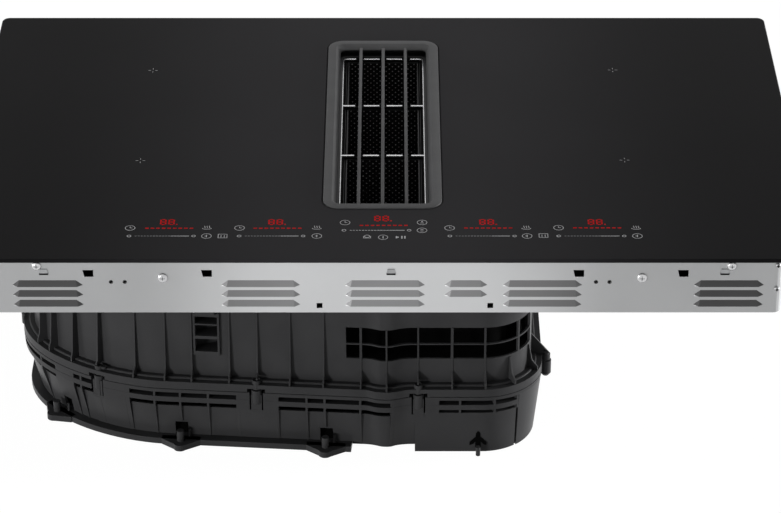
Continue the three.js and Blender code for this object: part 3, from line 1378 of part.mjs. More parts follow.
function coolingFanFrame(side) {
  const x = side * coilX;
  const z0 = trayFloor;
  const z1 = trayFloor + COOLER_HEIGHT;
  const half = COOLER_SIZE / 2;
  const body = block(x - half, x + half, coolerY - half, coolerY + half, z0, z1);
  const bore = pillar(x, coolerY, half - COOLER_WALL, z0 - 1, z1 + 1, 20);
  const hub = pillar(x, coolerY, COOLER_HUB, z0, z0 + COOLER_SEAT, 12);
  const arms = [45, 165, 285].map((angle) => {
    const arm = block(COOLER_HUB / 2, half - 1, -2, 2, z0, z0 + COOLER_SEAT - 1);
    return arm.rotate([0, 0, angle]).translate([x, coolerY, 0]);
  });
  return join(cut(body, bore), hub, arms);
}

function coolingFanRotor(side) {
  const x = side * coilX;
  const z0 = trayFloor + COOLER_SEAT + FIT;
  const z1 = trayFloor + COOLER_HEIGHT - 1;
  const hub = pillar(x, coolerY, COOLER_HUB, z0, z1, 10);
  const tip = COOLER_SIZE / 2 - COOLER_WALL - 3;
  const root = COOLER_HUB - 1;
  const blades = [];
  for (let i = 0; i < COOLER_BLADES; i += 1) {
    const blade = new THREE.BoxGeometry(tip - root, BLADE_THICK, COOLER_CHORD);
    blade.rotateX(COOLER_PITCH);
    blade.translate((tip + root) / 2, 0, (z0 + z1) / 2);
    blade.rotateZ((i / COOLER_BLADES) * 2 * Math.PI);
    blade.translate(x, coolerY, 0);
    blades.push(toSolid(blade));
  }
  return join(hub, blades);
}

function controlCarrier() {
  const y0 = controlFront;
  const y1 = controlBack;
  const half = CONTROL_WIDTH / 2;
  const wall = CARRIER_WALL;
  const top = controlFoot;
  const deck = block(-half, half, y0, y1, top - wall, top);
  const ends = [-half, half - wall].map((x) => block(x, x + wall, y0, y1, trayFloor, top));
  const front = block(-half, half, y0, y0 + wall, top - CARRIER_APRON, top);
  return join(deck, ends, front);
}

function controlBoard() {
  const y0 = controlFront + CARRIER_WALL;
  const y1 = controlBack - CARRIER_WALL;
  const half = CONTROL_WIDTH / 2 - 2 * CARRIER_WALL;
  const board = block(-half, half, y0, y1, controlFoot, controlFoot + BOARD_THICK);
  const displays = DISPLAYS.map(([x, back]) => {
    const y = back - GLASS_DEPTH / 2;
    return block(
      x - DISPLAY_WIDTH / 2, x + DISPLAY_WIDTH / 2,
      y - DISPLAY_DEPTH / 2, y + DISPLAY_DEPTH / 2,
      controlFoot + BOARD_THICK / 2, glassFoot - FIT,
    );
  });
  return join(board, displays);
}

function mainsBoard() {
  const x0 = GLAND_X - MAINS_WIDTH / 2;
  const y0 = alongTray(MAINS_FRONT);
  const x1 = x0 + MAINS_WIDTH;
  const y1 = y0 + alongTray(MAINS_LENGTH);
  const post = STANDOFF_SIZE;
  const board = block(x0, x1, y0, y1, boardFoot, boardTop);
  const posts = [x0 + 2, x1 - post - 2].flatMap((x) => [y0 + 2, y1 - post - 2].map((y) => (
    block(x, x + post, y, y + post, trayFloor, boardFoot + 0.5)
  )));
  const chokeY = y0 + CHOKE_PLACE * (y1 - y0);
  const choke = pillar(GLAND_X, chokeY, CHOKE_RADIUS, boardTop - 0.5, boardTop + CHOKE_HEIGHT, 12);
  const fuseBack = y1 - FUSE_SETBACK;
  const fuse = block(
    x0 + FUSE_SIDE, x1 - FUSE_SIDE, fuseBack - FUSE_DEPTH, fuseBack, boardTop - 0.5, boardTop + FUSE_HEIGHT,
  );
  return join(board, posts, choke, fuse);
}

function terminalBlock() {
  const width = TERMINALS * TERMINAL_PITCH + 3;
  const x0 = GLAND_X - width / 2;
  const y0 = alongTray(TERMINAL_FRONT);
  const y1 = y0 + TERMINAL_DEPTH;
  const base = block(x0, x0 + width, y0, y1, trayFloor, trayFloor + TERMINAL_BASE);
  const cells = [];
  for (let i = 0; i < TERMINALS; i += 1) {
    const x = x0 + 2 + i * TERMINAL_PITCH;
    const top = trayFloor + TERMINAL_BASE + TERMINAL_CELL;
    cells.push(block(x, x + TERMINAL_PITCH - 2, y0 + 2, y1 - 2, trayFloor + 1, top));
  }
  return join(base, cells);
}

function cableGland() {
  const wall = trayDepth / 2;
  const inside = wall - GLAND_INSIDE;
  const outside = wall + GLAND_OUTSIDE;
  const body = rodAlongY(GLAND_X, glandZ, GLAND_RADIUS, inside, outside, 12);
  const nut = rodAlongY(GLAND_X, glandZ, GLAND_RADIUS + GLAND_NUT, wall + FIT, outside - 2, 6);
  const bore = rodAlongY(GLAND_X, glandZ, GLAND_BORE, inside - 1, outside + 1, 10);
  return cut(join(body, nut), bore);
}

// ---------------------------------------------------------------- assembly

function finish(color, roughness, metalness) {
  return () => new THREE.MeshStandardMaterial({ color, roughness, metalness });
}

const blackGlass = finish(0x17161a, 0.12, 0);
const greyMetal = finish(0x4a4a4c, 0.45, 0.6);
const brightSteel = finish(0xc9c9cb, 0.25, 1);
const traySheet = finish(0xbdbdbf, 0.35, 0.9);
const aluminium = finish(0xa8aaad, 0.5, 0.9);
const copper = finish(0x9a5a35, 0.45, 0.8);
const blackPlastic = finish(0x1c1c1d, 0.5, 0);
const greyPlastic = finish(0x3a3b3d, 0.6, 0);
const rubber = finish(0x101011, 0.9, 0);
const boardGreen = finish(0x1f4a33, 0.6, 0);
const whitePlastic = finish(0xd8d6d0, 0.5, 0);

const cooktop = new THREE.Group();

function add(name, solid, material) {
  const mesh = new THREE.Mesh(toGeometry(solid), material());
  mesh.name = name;
  cooktop.add(mesh);
}

add('glass_top', glassTop(), blackGlass);
add('worktop_seal', worktopSeal(), rubber);
add('glass_bead', glassBead(), rubber);
add('tray', tray(), traySheet);
for (const [row, label] of ['left', 'right'].entries()) {
  const traySide = traySheetScrew(TRAY_SCREWS[row], TRAY_SCREW_DROP, TRAY_SCREW_RADIUS);
  const clampSide = traySheetScrew(CLAMP_SCREWS[row], CLAMP_SCREW_DROP, CLAMP_SCREW_RADIUS);
  add(`tray_screw_${label}`, traySide, brightSteel);
  add(`clamp_screw_${label}`, clampSide, brightSteel);
}

add('vent_grille', ventGrille(), greyMetal);
add('inlet_collar', inletCollar(), blackPlastic);
add('collar_seal', collarSeal(), rubber);
add('filter_rim', filterRim(), brightSteel);
add('filter_left_panel', filterPanel(-1), brightSteel);
add('filter_right_panel', filterPanel(1), brightSteel);
add('filter_floor', filterFloor(), brightSteel);
add('drip_container', dripContainer(), greyPlastic);

add('upper_housing', upperHousing(), blackPlastic);
add('lower_housing', lowerHousing(), blackPlastic);
add('bottom_cover', bottomCover(), blackPlastic);
add('fan_inlet_plate', fanInletPlate(), blackPlastic);
add('outlet_spigot', outletSpigot(), blackPlastic);
add('impeller', impeller(), greyPlastic);
add('motor_shaft', motorShaft(), brightSteel);
add('motor', motor(), aluminium);
add('motor_bracket', motorBracket(), traySheet);

bossCentres().forEach((centre, i) => {
  add(`shell_screw_${i + 1}`, bossScrew(centre), brightSteel);
});

for (const [label, side] of [['left', -1], ['right', 1]]) {
  add(`coil_plate_${label}`, coilPlate(side), aluminium);
  coilPlaces.forEach((y, row) => {
    const zone = `${label}_${row === 0 ? 'front' : 'back'}`;
    add(`coil_carrier_${zone}`, coilCarrier(side, y), greyPlastic);
    add(`coil_winding_${zone}`, coilWinding(side, y), copper);
    add(`coil_sensor_${zone}`, coilSensor(side, y), whitePlastic);
  });
  add(`power_board_${label}`, powerBoard(side), boardGreen);
  add(`heat_sink_${label}`, heatSink(side), aluminium);
  add(`cooling_fan_frame_${label}`, coolingFanFrame(side), blackPlastic);
  add(`cooling_fan_rotor_${label}`, coolingFanRotor(side), greyPlastic);
}

add('control_carrier', controlCarrier(), whitePlastic);
add('control_board', controlBoard(), boardGreen);
add('mains_board', mainsBoard(), boardGreen);
add('terminal_block', terminalBlock(), whitePlastic);
add('cable_gland', cableGland(), blackPlastic);

export default cooktop;
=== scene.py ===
# %% [markdown]
# # A downdraft induction cooktop, dressed in Blender
# The cooktop is a sheet of black glass with a vent in its middle. Under the glass hangs a steel
# tray with the coils, and under the tray a moulded housing for the blower. This lesson loads the
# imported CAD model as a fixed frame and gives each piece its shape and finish. Blender measures in
# metres, so a small helper turns the millimetres of a drawing into metres.

# %% Load the frame
import bisect
import json
import math
import bmesh
import bpy
from mathutils import Matrix, Vector
from mathutils.geometry import interpolate_bezier

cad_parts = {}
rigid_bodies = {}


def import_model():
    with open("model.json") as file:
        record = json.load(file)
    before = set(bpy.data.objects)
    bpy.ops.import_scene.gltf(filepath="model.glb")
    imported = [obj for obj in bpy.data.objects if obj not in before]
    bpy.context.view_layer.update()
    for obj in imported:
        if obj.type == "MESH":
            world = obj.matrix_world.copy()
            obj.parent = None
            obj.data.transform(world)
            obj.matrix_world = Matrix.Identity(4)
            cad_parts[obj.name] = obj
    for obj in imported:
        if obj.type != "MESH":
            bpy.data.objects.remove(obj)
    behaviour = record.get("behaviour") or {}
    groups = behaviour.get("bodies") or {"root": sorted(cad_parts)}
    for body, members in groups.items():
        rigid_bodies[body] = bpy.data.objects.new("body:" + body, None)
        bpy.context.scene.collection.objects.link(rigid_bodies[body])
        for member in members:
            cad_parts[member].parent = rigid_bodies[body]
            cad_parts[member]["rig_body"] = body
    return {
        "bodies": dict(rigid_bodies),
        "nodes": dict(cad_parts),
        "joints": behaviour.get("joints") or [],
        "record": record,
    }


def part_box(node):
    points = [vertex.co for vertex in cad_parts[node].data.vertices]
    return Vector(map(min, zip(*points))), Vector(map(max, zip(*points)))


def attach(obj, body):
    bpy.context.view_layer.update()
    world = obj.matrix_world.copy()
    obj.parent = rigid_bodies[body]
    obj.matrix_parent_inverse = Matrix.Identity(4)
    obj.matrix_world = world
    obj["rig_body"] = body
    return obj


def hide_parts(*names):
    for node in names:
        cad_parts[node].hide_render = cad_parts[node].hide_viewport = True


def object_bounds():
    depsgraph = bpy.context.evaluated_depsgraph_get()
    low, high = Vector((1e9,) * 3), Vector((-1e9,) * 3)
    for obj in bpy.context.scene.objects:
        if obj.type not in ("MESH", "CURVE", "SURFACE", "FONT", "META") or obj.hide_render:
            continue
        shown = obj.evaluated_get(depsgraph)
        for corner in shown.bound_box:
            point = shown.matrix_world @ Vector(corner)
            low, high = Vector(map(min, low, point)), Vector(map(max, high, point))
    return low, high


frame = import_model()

cad_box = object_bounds()
nodes = frame["nodes"]
body_of = {name: node["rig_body"] for name, node in nodes.items()}


def mm(*values):
    """Millimetres to metres: one number, or a vector of three."""
    scaled = [value / 1000 for value in values]
    return scaled[0] if len(scaled) == 1 else Vector(scaled)


def placed(name, data):
    """A new object with this data, in the scene."""
    thing = bpy.data.objects.new(name, data)
    bpy.context.scene.collection.objects.link(thing)
    return thing


print("CAD nodes:", len(nodes), "box:", [list(corner) for corner in cad_box])

# %% [markdown]
# ## The camera
# The photograph looks down on the cooktop from the front. A long lens far away keeps the sides of
# the glass nearly parallel, as they are there. A lens can be set by eye, but the corners of the
# glass have known places, and only one camera puts them all where the photograph has them. It
# comes first, because each later choice is judged through it.

# %% Camera
lens = bpy.data.cameras.new("front_camera")
lens.lens = 154.86
lens.sensor_width = 36
lens.sensor_fit = "HORIZONTAL"
lens.clip_end = 50
camera = placed("front_camera", lens)
camera.location = (0.0076, -2.9552, 1.7406)
camera.rotation_euler = (math.radians(60.802), 0, 0)
bpy.context.scene.camera = camera
bpy.context.scene.view_settings.view_transform = "Standard"
print("camera at", tuple(camera.location))

# %% [markdown]
# ## Colours and finishes
# A finish, and the studio too, is a tree of nodes. Written out, each node takes a line to make it,
# one for each of its values and one for each link. Three small helpers do that, and what is left
# says what the tree does.


# %% Helpers: nodes
def fill(node, inputs):
    """Set a node's inputs: each gets a value, or a link from another node's output."""
    for name, value in inputs.items():
        if isinstance(value, bpy.types.NodeSocket):
            node.id_data.links.new(value, node.inputs[name])
        else:
            node.inputs[name].default_value = value
    return node


def add(tree, kind, inputs=None, **settings):
    """A new node with its settings made and its inputs filled."""
    node = tree.nodes.new("ShaderNode" + kind)
    for name, value in settings.items():
        setattr(node, name, value)
    return fill(node, inputs or {})


def maths(tree, operation, *values):
    """The output of a maths node on numbers or other outputs."""
    return add(tree, "Math", dict(enumerate(values)), operation=operation).outputs[0]


# %% [markdown]
# Colours are read off a screen as numbers from 0 to 255, but a shader works with light, so they
# are turned into linear values first. A finish here is one Principled shader with two things real
# surfaces have: a slow drift of the colour, and a fine grain that breaks up the gloss. Both could
# be painted as pictures. Noise on Object coordinates needs none, and stays on a piece that moves.

# %% Helper: a finish with drift and grain
GRAIN_DEPTH = 0.0001


def tint(red, green, blue):
    """Screen colour, 0 to 255, to the linear colour a shader needs."""
    parts = [channel / 255 for channel in (red, green, blue)]
    return tuple(c / 12.92 if c <= 0.04045 else ((c + 0.055) / 1.055) ** 2.4 for c in parts) + (1,)


def finish(name, dark, light, rough, metal=0.0, gloss=0.5, drift=30, grain=900, bump=0.1):
    """A procedural finish: colour drifts from dark to light, and fine noise roughens the surface."""
    material = bpy.data.materials.new(name)
    material.use_nodes = True
    tree = material.node_tree
    place = add(tree, "TexCoord").outputs["Object"]
    cloud = add(tree, "TexNoise", {"Vector": place, "Scale": drift, "Detail": 3})
    ramp = add(tree, "ValToRGB", {"Fac": cloud.outputs["Fac"]}, name="drift")
    for element, position, colour in zip(ramp.color_ramp.elements, (0.35, 0.65), (dark, light)):
        element.position, element.color = position, tint(*colour)
    specks = add(tree, "TexNoise", {"Vector": place, "Scale": grain})
    relief = add(tree, "Bump", {"Strength": bump, "Distance": GRAIN_DEPTH, "Height": specks.outputs["Fac"]})
    fill(tree.nodes["Principled BSDF"], {
        "Base Color": ramp.outputs["Color"], "Roughness": rough, "Metallic": metal,
        "Specular IOR Level": gloss, "Normal": relief.outputs["Normal"]})
    return material


def dress(piece, material):
    """Give a piece one finish, in place of what it had."""
    piece.data.materials.clear()
    piece.data.materials.append(material)
    return piece


print("half of 255 as light:", round(tint(127.5, 127.5, 127.5)[0], 3))


# %% [markdown]
# The glass and the tray get darker to both sides, where they mirror less of the lamps. A gradient
# lamp could do that, but it would darken all that stands near by. A factor on the colour of one
# finish stays with that finish.


# %% Helper: a finish that darkens to the sides
def darkened(material, start, stop, share):
    """Multiply the colour by a share that falls from 1 to the given one, from start to stop.
    Both are distances from the middle along X, in metres."""
    tree = material.node_tree
    place = add(tree, "SeparateXYZ", {0: add(tree, "TexCoord").outputs["Object"]})
    fall = add(tree, "MapRange", {
        "Value": maths(tree, "ABSOLUTE", place.outputs["X"]), "From Min": start, "From Max": stop,
        "To Min": 1, "To Max": share}, interpolation_type="SMOOTHSTEP")
    scaled = add(tree, "VectorMath", {
        0: tree.nodes["drift"].outputs["Color"], "Scale": fall.outputs["Result"]}, operation="SCALE")
    fill(tree.nodes["Principled BSDF"], {"Base Color": scaled.outputs["Vector"]})


# %% [markdown]
# ## The finishes of this object
# Black ceramic glass, a black moulding for the housing, grey satin ones for the vent, bright and
# galvanised steel, copper, green board, and a few small ones. The glass's grey is partly painted
# reflection, and three finishes are painted shade: a darker pressed steel for the louvre hoods, a
# shaded steel, and a near-black one for what lies in shadow. Each has two colours close together,
# those of the real thing or of the painted light, so that the drift is seen only near by. Settings
# that several finishes share are named once.

# %% The finishes
SATIN = {"drift": 40, "grain": 2400, "bump": 0.1}
PRESSED = {"metal": 0.55, "drift": 14, "grain": 700, "bump": 0.03}
PRINTED = {"rough": 0.6, "gloss": 0.1, "drift": 200, "grain": 2400}

# The glass's grey is its own dark tone and partly painted reflection: its gloss is nearly off, so the colour
# stands for the sheen it mirrors.
ceramic = finish("ceramic_glass", (56, 55, 57), (59, 58, 60), 0.32, gloss=0.015,
                 drift=6, grain=2600, bump=0.02)
moulding = finish("black_moulding", (60, 60, 61), (65, 65, 66), 0.36, gloss=0.08,
                  drift=24, grain=700, bump=0.12)
satin = finish("grey_satin_moulding", (77, 77, 78), (83, 83, 84), 0.55, gloss=0.25, **SATIN)
dark_satin = finish("dark_grey_moulding", (44, 43, 44), (50, 49, 50), 0.55, gloss=0.2, **SATIN)
bright = finish("bright_steel", (196, 196, 198), (214, 214, 215), 0.25, metal=0.8,
                drift=60, grain=1500, bump=0.04)
sheet = finish("galvanised_sheet", (186, 187, 188), (198, 198, 199), 0.38, metal=0.75,
               drift=45, grain=420, bump=0.05)
copper = finish("enamelled_copper", (150, 74, 38), (176, 92, 50), 0.35, metal=0.9, drift=80, grain=1200)
board = finish("green_board", (22, 66, 40), (28, 78, 48), 0.5, drift=50)
rubber = finish("soft_seal", (22, 22, 23), (30, 30, 30), 0.8, gloss=0.2, drift=60, grain=1500, bump=0.3)
aluminium = finish("cast_aluminium", (150, 152, 154), (168, 169, 170), 0.45, metal=0.8, drift=70, grain=800)
# A dark steel of painted shade, for filter panels down in the vent and for small screw recesses.
steel_in_painted_shade = finish("steel_in_painted_shade", (34, 34, 35), (42, 42, 43), 0.45, metal=0.4, gloss=0.1,
                      drift=60, grain=1500, bump=0.05)
white_moulding = finish("white_moulding", (206, 204, 198), (216, 214, 208), 0.5, drift=40)
tray_steel = finish("tray_steel", (211, 212, 213), (215, 216, 217), 0.42, **PRESSED)
# Painted shade: the hoods' steel is darker than the tray's, for faces that tilt up and mirror less light.
hood_painted_shade = finish("pressed_steel_painted_shade", (140, 140, 141), (146, 146, 147), 0.5, **PRESSED)
# Near-black painted shade, for boxes, slots, recesses and ledges that lie in shadow.
shade_black = finish("painted_shade_black", (3, 3, 3), (5, 5, 5), 0.8, gloss=0.03, drift=40)
print_light = finish("light_print", (222, 222, 224), (234, 234, 236), **PRINTED)
print_dim = finish("dim_print", (172, 172, 174), (184, 184, 186), **PRINTED)
print_red = finish("red_print", (222, 10, 12), (236, 14, 16), **PRINTED)
darkened(ceramic, 0.06, 0.34, 0.28)
darkened(tray_steel, 0.09, 0.23, 0.66)
darkened(hood_painted_shade, 0.03, 0.31, 0.22)
print("finishes:", len(bpy.data.materials))

# %% [markdown]
# Most nodes inside the tray keep the shape that the CAD model gave them, and only need a finish.
# Each could be dressed in a line of its own. A table is easier to read, and the start of a name is
# enough in it: the longest start that fits a node says what it wears.

# %% Finish the CAD nodes
worn = {start: material for material, starts in (
    (ceramic, "glass_top"), (tray_steel, "tray"), (satin, "vent_grille"), (dark_satin, "drip_container"),
    (rubber, "worktop_seal glass_bead collar_seal"), (sheet, "motor_bracket"), (copper, "coil_winding"),
    (bright, "filter_rim motor_shaft tray_screw clamp_screw"), (aluminium, "motor coil_plate heat_sink"),
    (steel_in_painted_shade, "filter_left_panel filter_right_panel filter_floor"),
    (moulding, "inlet_collar upper_housing lower_housing bottom_cover fan_inlet_plate outlet_spigot"),
    (moulding, "impeller cable_gland shell_screw cooling_fan"),
    (board, "mains_board control_board power_board"),
    (white_moulding, "control_carrier terminal_block coil_carrier coil_sensor"),
) for start in starts.split()}
for name, node in nodes.items():
    dress(node, worn[max((start for start in worn if name.startswith(start)), key=len)])
print("dressed:", len(nodes), "nodes")

# %% [markdown]
# ## Building with bmesh
# Each piece is put together from closed parts, the way a moulding tool is cut: a wall here, a rib
# there. A part is made in its own small bmesh, so operators that look at the whole mesh, such as
# filling holes or turning the normals outwards, see nothing else. `gather` then joins the parts
# into one object, which rides on the body of the CAD node that it stands for. Boolean modifiers
# could weld the parts too, but here they only touch or sink into each other, which looks the same.


# %% Helpers: from parts to a piece
WELD = 1e-6  # metres: points nearer than this are one


def closed(part):
    """Merge doubles, turn the faces outwards and hand the part back."""
    bmesh.ops.remove_doubles(part, verts=part.verts, dist=WELD)
    bmesh.ops.recalc_face_normals(part, faces=part.faces)
    return part


def gather(name, parts, material, body="root", stands_for=(), edge=0.0, smooth=True):
    """Join parts into one object with one finish, and round its edges if asked."""
    whole = bmesh.new()
    for part in parts:
        carrier = bpy.data.meshes.new("carrier")
        closed(part).to_mesh(carrier)
        part.free()
        whole.from_mesh(carrier)
        bpy.data.meshes.remove(carrier)
    mesh = bpy.data.meshes.new(name)
    whole.to_mesh(mesh)
    whole.free()
    mesh.materials.append(material)
    piece = placed(name, mesh)
    if smooth:
        mesh.shade_smooth()
        mesh.set_sharp_from_angle(angle=math.radians(34))
    if edge:
        rounding = piece.modifiers.new("rounding", "BEVEL")
        rounding.width = mm(edge)
        rounding.segments = 2
        rounding.limit_method = "ANGLE"
        rounding.angle_limit = math.radians(40)
        rounding.harden_normals = smooth
    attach(piece, body)
    if stands_for:
        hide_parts(*stands_for)
    print(name, "has", len(mesh.polygons), "faces before rounding")
    return piece


# %% [markdown]
# Blocks, posts and outlines pulled up to a height make most of the parts. Everything with a
# changing section comes from `drawn`: one chain of points, extruded again and again, and moved to
# its place each time. Rings with rounded corners and turned bodies are two uses of it.


# %% Helpers: the basic parts
def slab(x0, x1, y0, y1, z0, z1):
    """A block between two corners, in millimetres."""
    part = bmesh.new()
    bmesh.ops.create_cube(part, size=1)
    bmesh.ops.scale(part, verts=part.verts, vec=mm(x1 - x0, y1 - y0, z1 - z0))
    bmesh.ops.translate(part, verts=part.verts, vec=mm((x0 + x1) / 2, (y0 + y1) / 2, (z0 + z1) / 2))
    return part


def post(x, y, z0, z1, foot, top=None, sides=28):
    """A round post, straight or tapered."""
    part = bmesh.new()
    bmesh.ops.create_cone(part, cap_ends=True, segments=sides, radius1=mm(foot),
                          radius2=mm(foot if top is None else top), depth=mm(z1 - z0),
                          matrix=Matrix.Translation(mm(x, y, (z0 + z1) / 2)))
    return part


def prism(corners, low, high, frame=None):
    """A flat outline, given as (x, y) corners, pulled up from one height to another."""
    part = bmesh.new()
    face = part.faces.new([part.verts.new(mm(x, y, low)) for x, y in corners])
    grown = bmesh.ops.extrude_face_region(part, geom=[face], use_keep_orig=True)["geom"]
    lifted = [g for g in grown if isinstance(g, bmesh.types.BMVert)]
    bmesh.ops.translate(part, verts=lifted, vec=mm(0, 0, high - low))
    if frame:
        bmesh.ops.transform(part, matrix=frame, verts=part.verts)
    return part


def drawn(count, rows, place, ring=True, joined=True, capped=False):
    """A skin of quads. It starts as a chain of `count` vertices at the first row, and each further
    row is an extrusion of that chain, moved to where place(i, row) says. A number kept on each
    vertex tells which one it is, and the extrusion copies it. The last row can join the first."""
    part = bmesh.new()
    number = part.verts.layers.int.new("station")
    chain = [part.verts.new(place(i, rows[0])) for i in range(count)]
    for i, vert in enumerate(chain):
        vert[number] = i
    edges = [part.edges.new(pair) for pair in zip(chain, chain[1:] + chain[:1] if ring else chain[1:])]
    for row in rows[1:] + (rows[:1] if joined else []):
        grown = bmesh.ops.extrude_edge_only(part, edges=edges)["geom"]
        fresh = {g for g in grown if isinstance(g, bmesh.types.BMVert)}
        for vert in fresh:
            vert.co = place(vert[number], row)
        edges = [g for g in grown if isinstance(g, bmesh.types.BMEdge) and fresh.issuperset(g.verts)]
    bmesh.ops.remove_doubles(part, verts=part.verts, dist=WELD)
    if capped:
        bmesh.ops.holes_fill(part, edges=part.edges[:], sides=0)
    return part


def stacked(loops, steps=9):
    """Loops with rounded corners, one after the other: (width, length, radius, y, z) for each."""
    def place(i, loop):
        width, length, radius, y, z = loop
        corner, step = divmod(i, steps + 1)
        turn = (corner + step / steps) * math.pi / 2
        side_x, side_y = ((1, 1), (-1, 1), (-1, -1), (1, -1))[corner]
        return mm(side_x * (width / 2 - radius) + radius * math.cos(turn),
                  y + side_y * (length / 2 - radius) + radius * math.sin(turn), z)
    return drawn(4 * (steps + 1), loops, place)


def turned(x, y, profile, sides=28, **ways):
    """A round body about a vertical axis: profile of (radius, height)."""
    def place(i, row):
        turn = 2 * math.pi * i / sides
        return mm(x + row[0] * math.cos(turn), y + row[0] * math.sin(turn), row[1])
    return drawn(sides, profile, place, **ways)


# %% [markdown]
# ## The tray's louvres
# A louvre is a slit with a hood that a press has pushed out over it. The CAD tray has a hood over
# each louvre on its front, as wide at the foot as its tips. A merged copy of that mesh takes the
# tray's place, with the feet drawn in, and each hood gets a taller pressed face over it. The face
# could be cut from a bent sheet. The convex hull of eight points is simpler and just as sharp: a
# flat hexagon on the wall, and the foot pulled out.

# %% Tray with its louvres reshaped
FRONT_WALL = -241
LOUVRE_PITCH = 10.5
LOUVRES = {3: [(-344, -278.6), (-149.8, -76.6), (-34.6, 39.5), (112.3, 185.7), (289.8, 354.8)],
           2: [(57.9, 97.5)]}
LOWEST_FOOT = {3: 171.8, 2: 182.3}
DRAWN_IN, PUSHED_BACK = 3.6, 0.5
HOODS = [(x0, x1, LOWEST_FOOT[rows] + LOUVRE_PITCH * row)
         for rows, places in LOUVRES.items() for x0, x1 in places for row in range(rows)]


def pressed_hood(x0, x1, foot):
    """A hood with pointed ends, from the tray's front outwards."""
    part = bmesh.new()
    outline = [(x0 + 6.4, 6.2), (x1 - 6.4, 6.2), (x1 + 0.4, 1), (x1 - 5, -0.1), (x0 + 5, -0.1), (x0 - 0.4, 1)]
    points = [part.verts.new(mm(x, FRONT_WALL + 0.2, foot + rise)) for x, rise in outline]
    points += [part.verts.new(mm(x, FRONT_WALL - 2.6, foot - 0.1)) for x in (x0 + 5, x1 - 5)]
    bmesh.ops.convex_hull(part, input=points)
    return part


def draw_in_feet(work):
    """Move the lip of each hood towards its middle, and back to the wall a little."""
    for vert in work.verts:
        x, y, z = (value * 1000 for value in vert.co)
        for x0, x1, foot in HOODS:
            if y < FRONT_WALL - 0.5 and x0 - 0.3 < x < x1 + 0.3 and abs(z - foot) < 0.6:
                vert.co.x += mm(DRAWN_IN if x < (x0 + x1) / 2 else -DRAWN_IN)
                vert.co.y += mm(PUSHED_BACK)


tray_mesh = nodes["tray"].data.copy()
tray_mesh.name = "tray_sheet"
work = bmesh.new()
work.from_mesh(tray_mesh)
bmesh.ops.remove_doubles(work, verts=work.verts, dist=1e-5)
draw_in_feet(work)
bmesh.ops.recalc_face_normals(work, faces=work.faces)
for face in work.faces:
    face.smooth = False
work.to_mesh(tray_mesh)
work.free()
tray_sheet = dress(placed("tray_sheet", tray_mesh), tray_steel)
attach(tray_sheet, body_of["tray"])
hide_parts("tray")
# The hoods wear painted shade and painted reflection: darker than the tray, and darker still to the sides.
gather("louvre_hoods", [pressed_hood(*hood) for hood in HOODS], hood_painted_shade, smooth=False)

# %% [markdown]
# ## Screws and lances on the tray
# The sheet-metal screws have pan heads with a cross recess. Each head is a turned body on its side,
# and the recess is two bars let into its face, in a darker finish that paints the recess's shade. A
# lance is a small raised flap with a slot under it; the slot is a near-black block, painted shade.
# The small round holes have soft bushes. All of them are made lying flat about the origin, which is
# the easy way to draw them, and a matrix then stands them up on the tray's front.


# %% Screws and lances
def on_front(part, x, z):
    """Stand a part up on the tray's front, so that its Z points out of the wall."""
    frame = Matrix(((-1, 0, 0, mm(x)), (0, 0, -1, mm(FRONT_WALL)), (0, 1, 0, mm(z)), (0, 0, 0, 1)))
    bmesh.ops.transform(part, matrix=frame, verts=part.verts)
    return part


def pan_head(x, z, radius):
    """A pan head and the two bars of its recess."""
    dome = [(radius, -0.4), (radius, 0.6), (radius * 0.94, 1.2), (radius * 0.7, 1.9), (radius * 0.35, 2.2)]
    head = turned(0, 0, dome, joined=False, capped=True)
    long, short = radius * 0.5, 0.55
    bars = [slab(-long, long, -short, short, 1, 2.26), slab(-short, short, -long, long, 1, 2.26)]
    return on_front(head, x, z), [on_front(bar, x, z) for bar in bars]


for family, radius in (("clamp_screw", 4.5), ("tray_screw", 4.9)):
    for name in (family + "_left", family + "_right"):
        (x0, _, z0), (x1, _, z1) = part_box(name)
        head, bars = pan_head((x0 + x1) * 500, (z0 + z1) * 500, radius)
        gather("head_of_" + name, [head], bright, stands_for=(name,))
        gather("recess_of_" + name, bars, aluminium)
corners = [pan_head(x, z, 2.7) for x in (-367, 367) for z in (189.4, 214.4)]
gather("corner_screw_heads", [head for head, _ in corners], tray_steel)
gather("corner_screw_recesses", [bar for _, bars in corners for bar in bars], steel_in_painted_shade)

PIN_HOLES, PIN_HEIGHT = (-252.2, -239.4, 198.6, 211.2), 196.7
LANCES, LANCE_HEIGHT = (-314.4, 8.1, 318), 205.5
BUSH = [(1.3, -0.3), (1.3, 0.15), (1.5, 0.25), (1.95, 0.1), (1.95, -0.3)]
FLAP = [(-3.3, 5), (-4, 0.6), (4, 0.6), (3.3, 5)]
bushes = [on_front(turned(0, 0, BUSH), x, PIN_HEIGHT) for x in PIN_HOLES]
flaps = [on_front(prism(FLAP, -0.2, 0.9), x, LANCE_HEIGHT) for x in LANCES]
slots = [on_front(slab(-4.2, 4.2, -0.9, 0.8, -0.2, 0.95), x, LANCE_HEIGHT) for x in LANCES]
gather("pin_hole_bushes", bushes, rubber)
gather("tray_lances", flaps, aluminium)
gather("lance_slots", slots, shade_black)

# %% [markdown]
# ## The outline of the blower housing
# The housing is a shell round a fan, so its outline is a scroll: straight runs, two round corners
# and long soft curves. A curve object with a bevel could draw it, but then nothing else could ask
# it for a place. So it is written once, as stretches of points a few millimetres apart. A `station`
# is a place on this outline with the direction that points out of the housing. Every wall, band
# and rib asks for stations, and so follows the same curve.


# %% Stations along the outline
STEPS = 24  # in each stretch of the outline
CORNER_RADIUS = 59


def straight(a, b):
    return [Vector(a).lerp(Vector(b), i / STEPS) for i in range(STEPS)]


def curve(*points):
    return interpolate_bezier(*(Vector(point) for point in points), STEPS + 1)[:-1]


def quarter(x, y, start):
    turns = [start + i * math.pi / (2 * STEPS) for i in range(STEPS)]
    return [Vector((x + CORNER_RADIUS * math.cos(turn), y + CORNER_RADIUS * math.sin(turn)))
            for turn in turns]


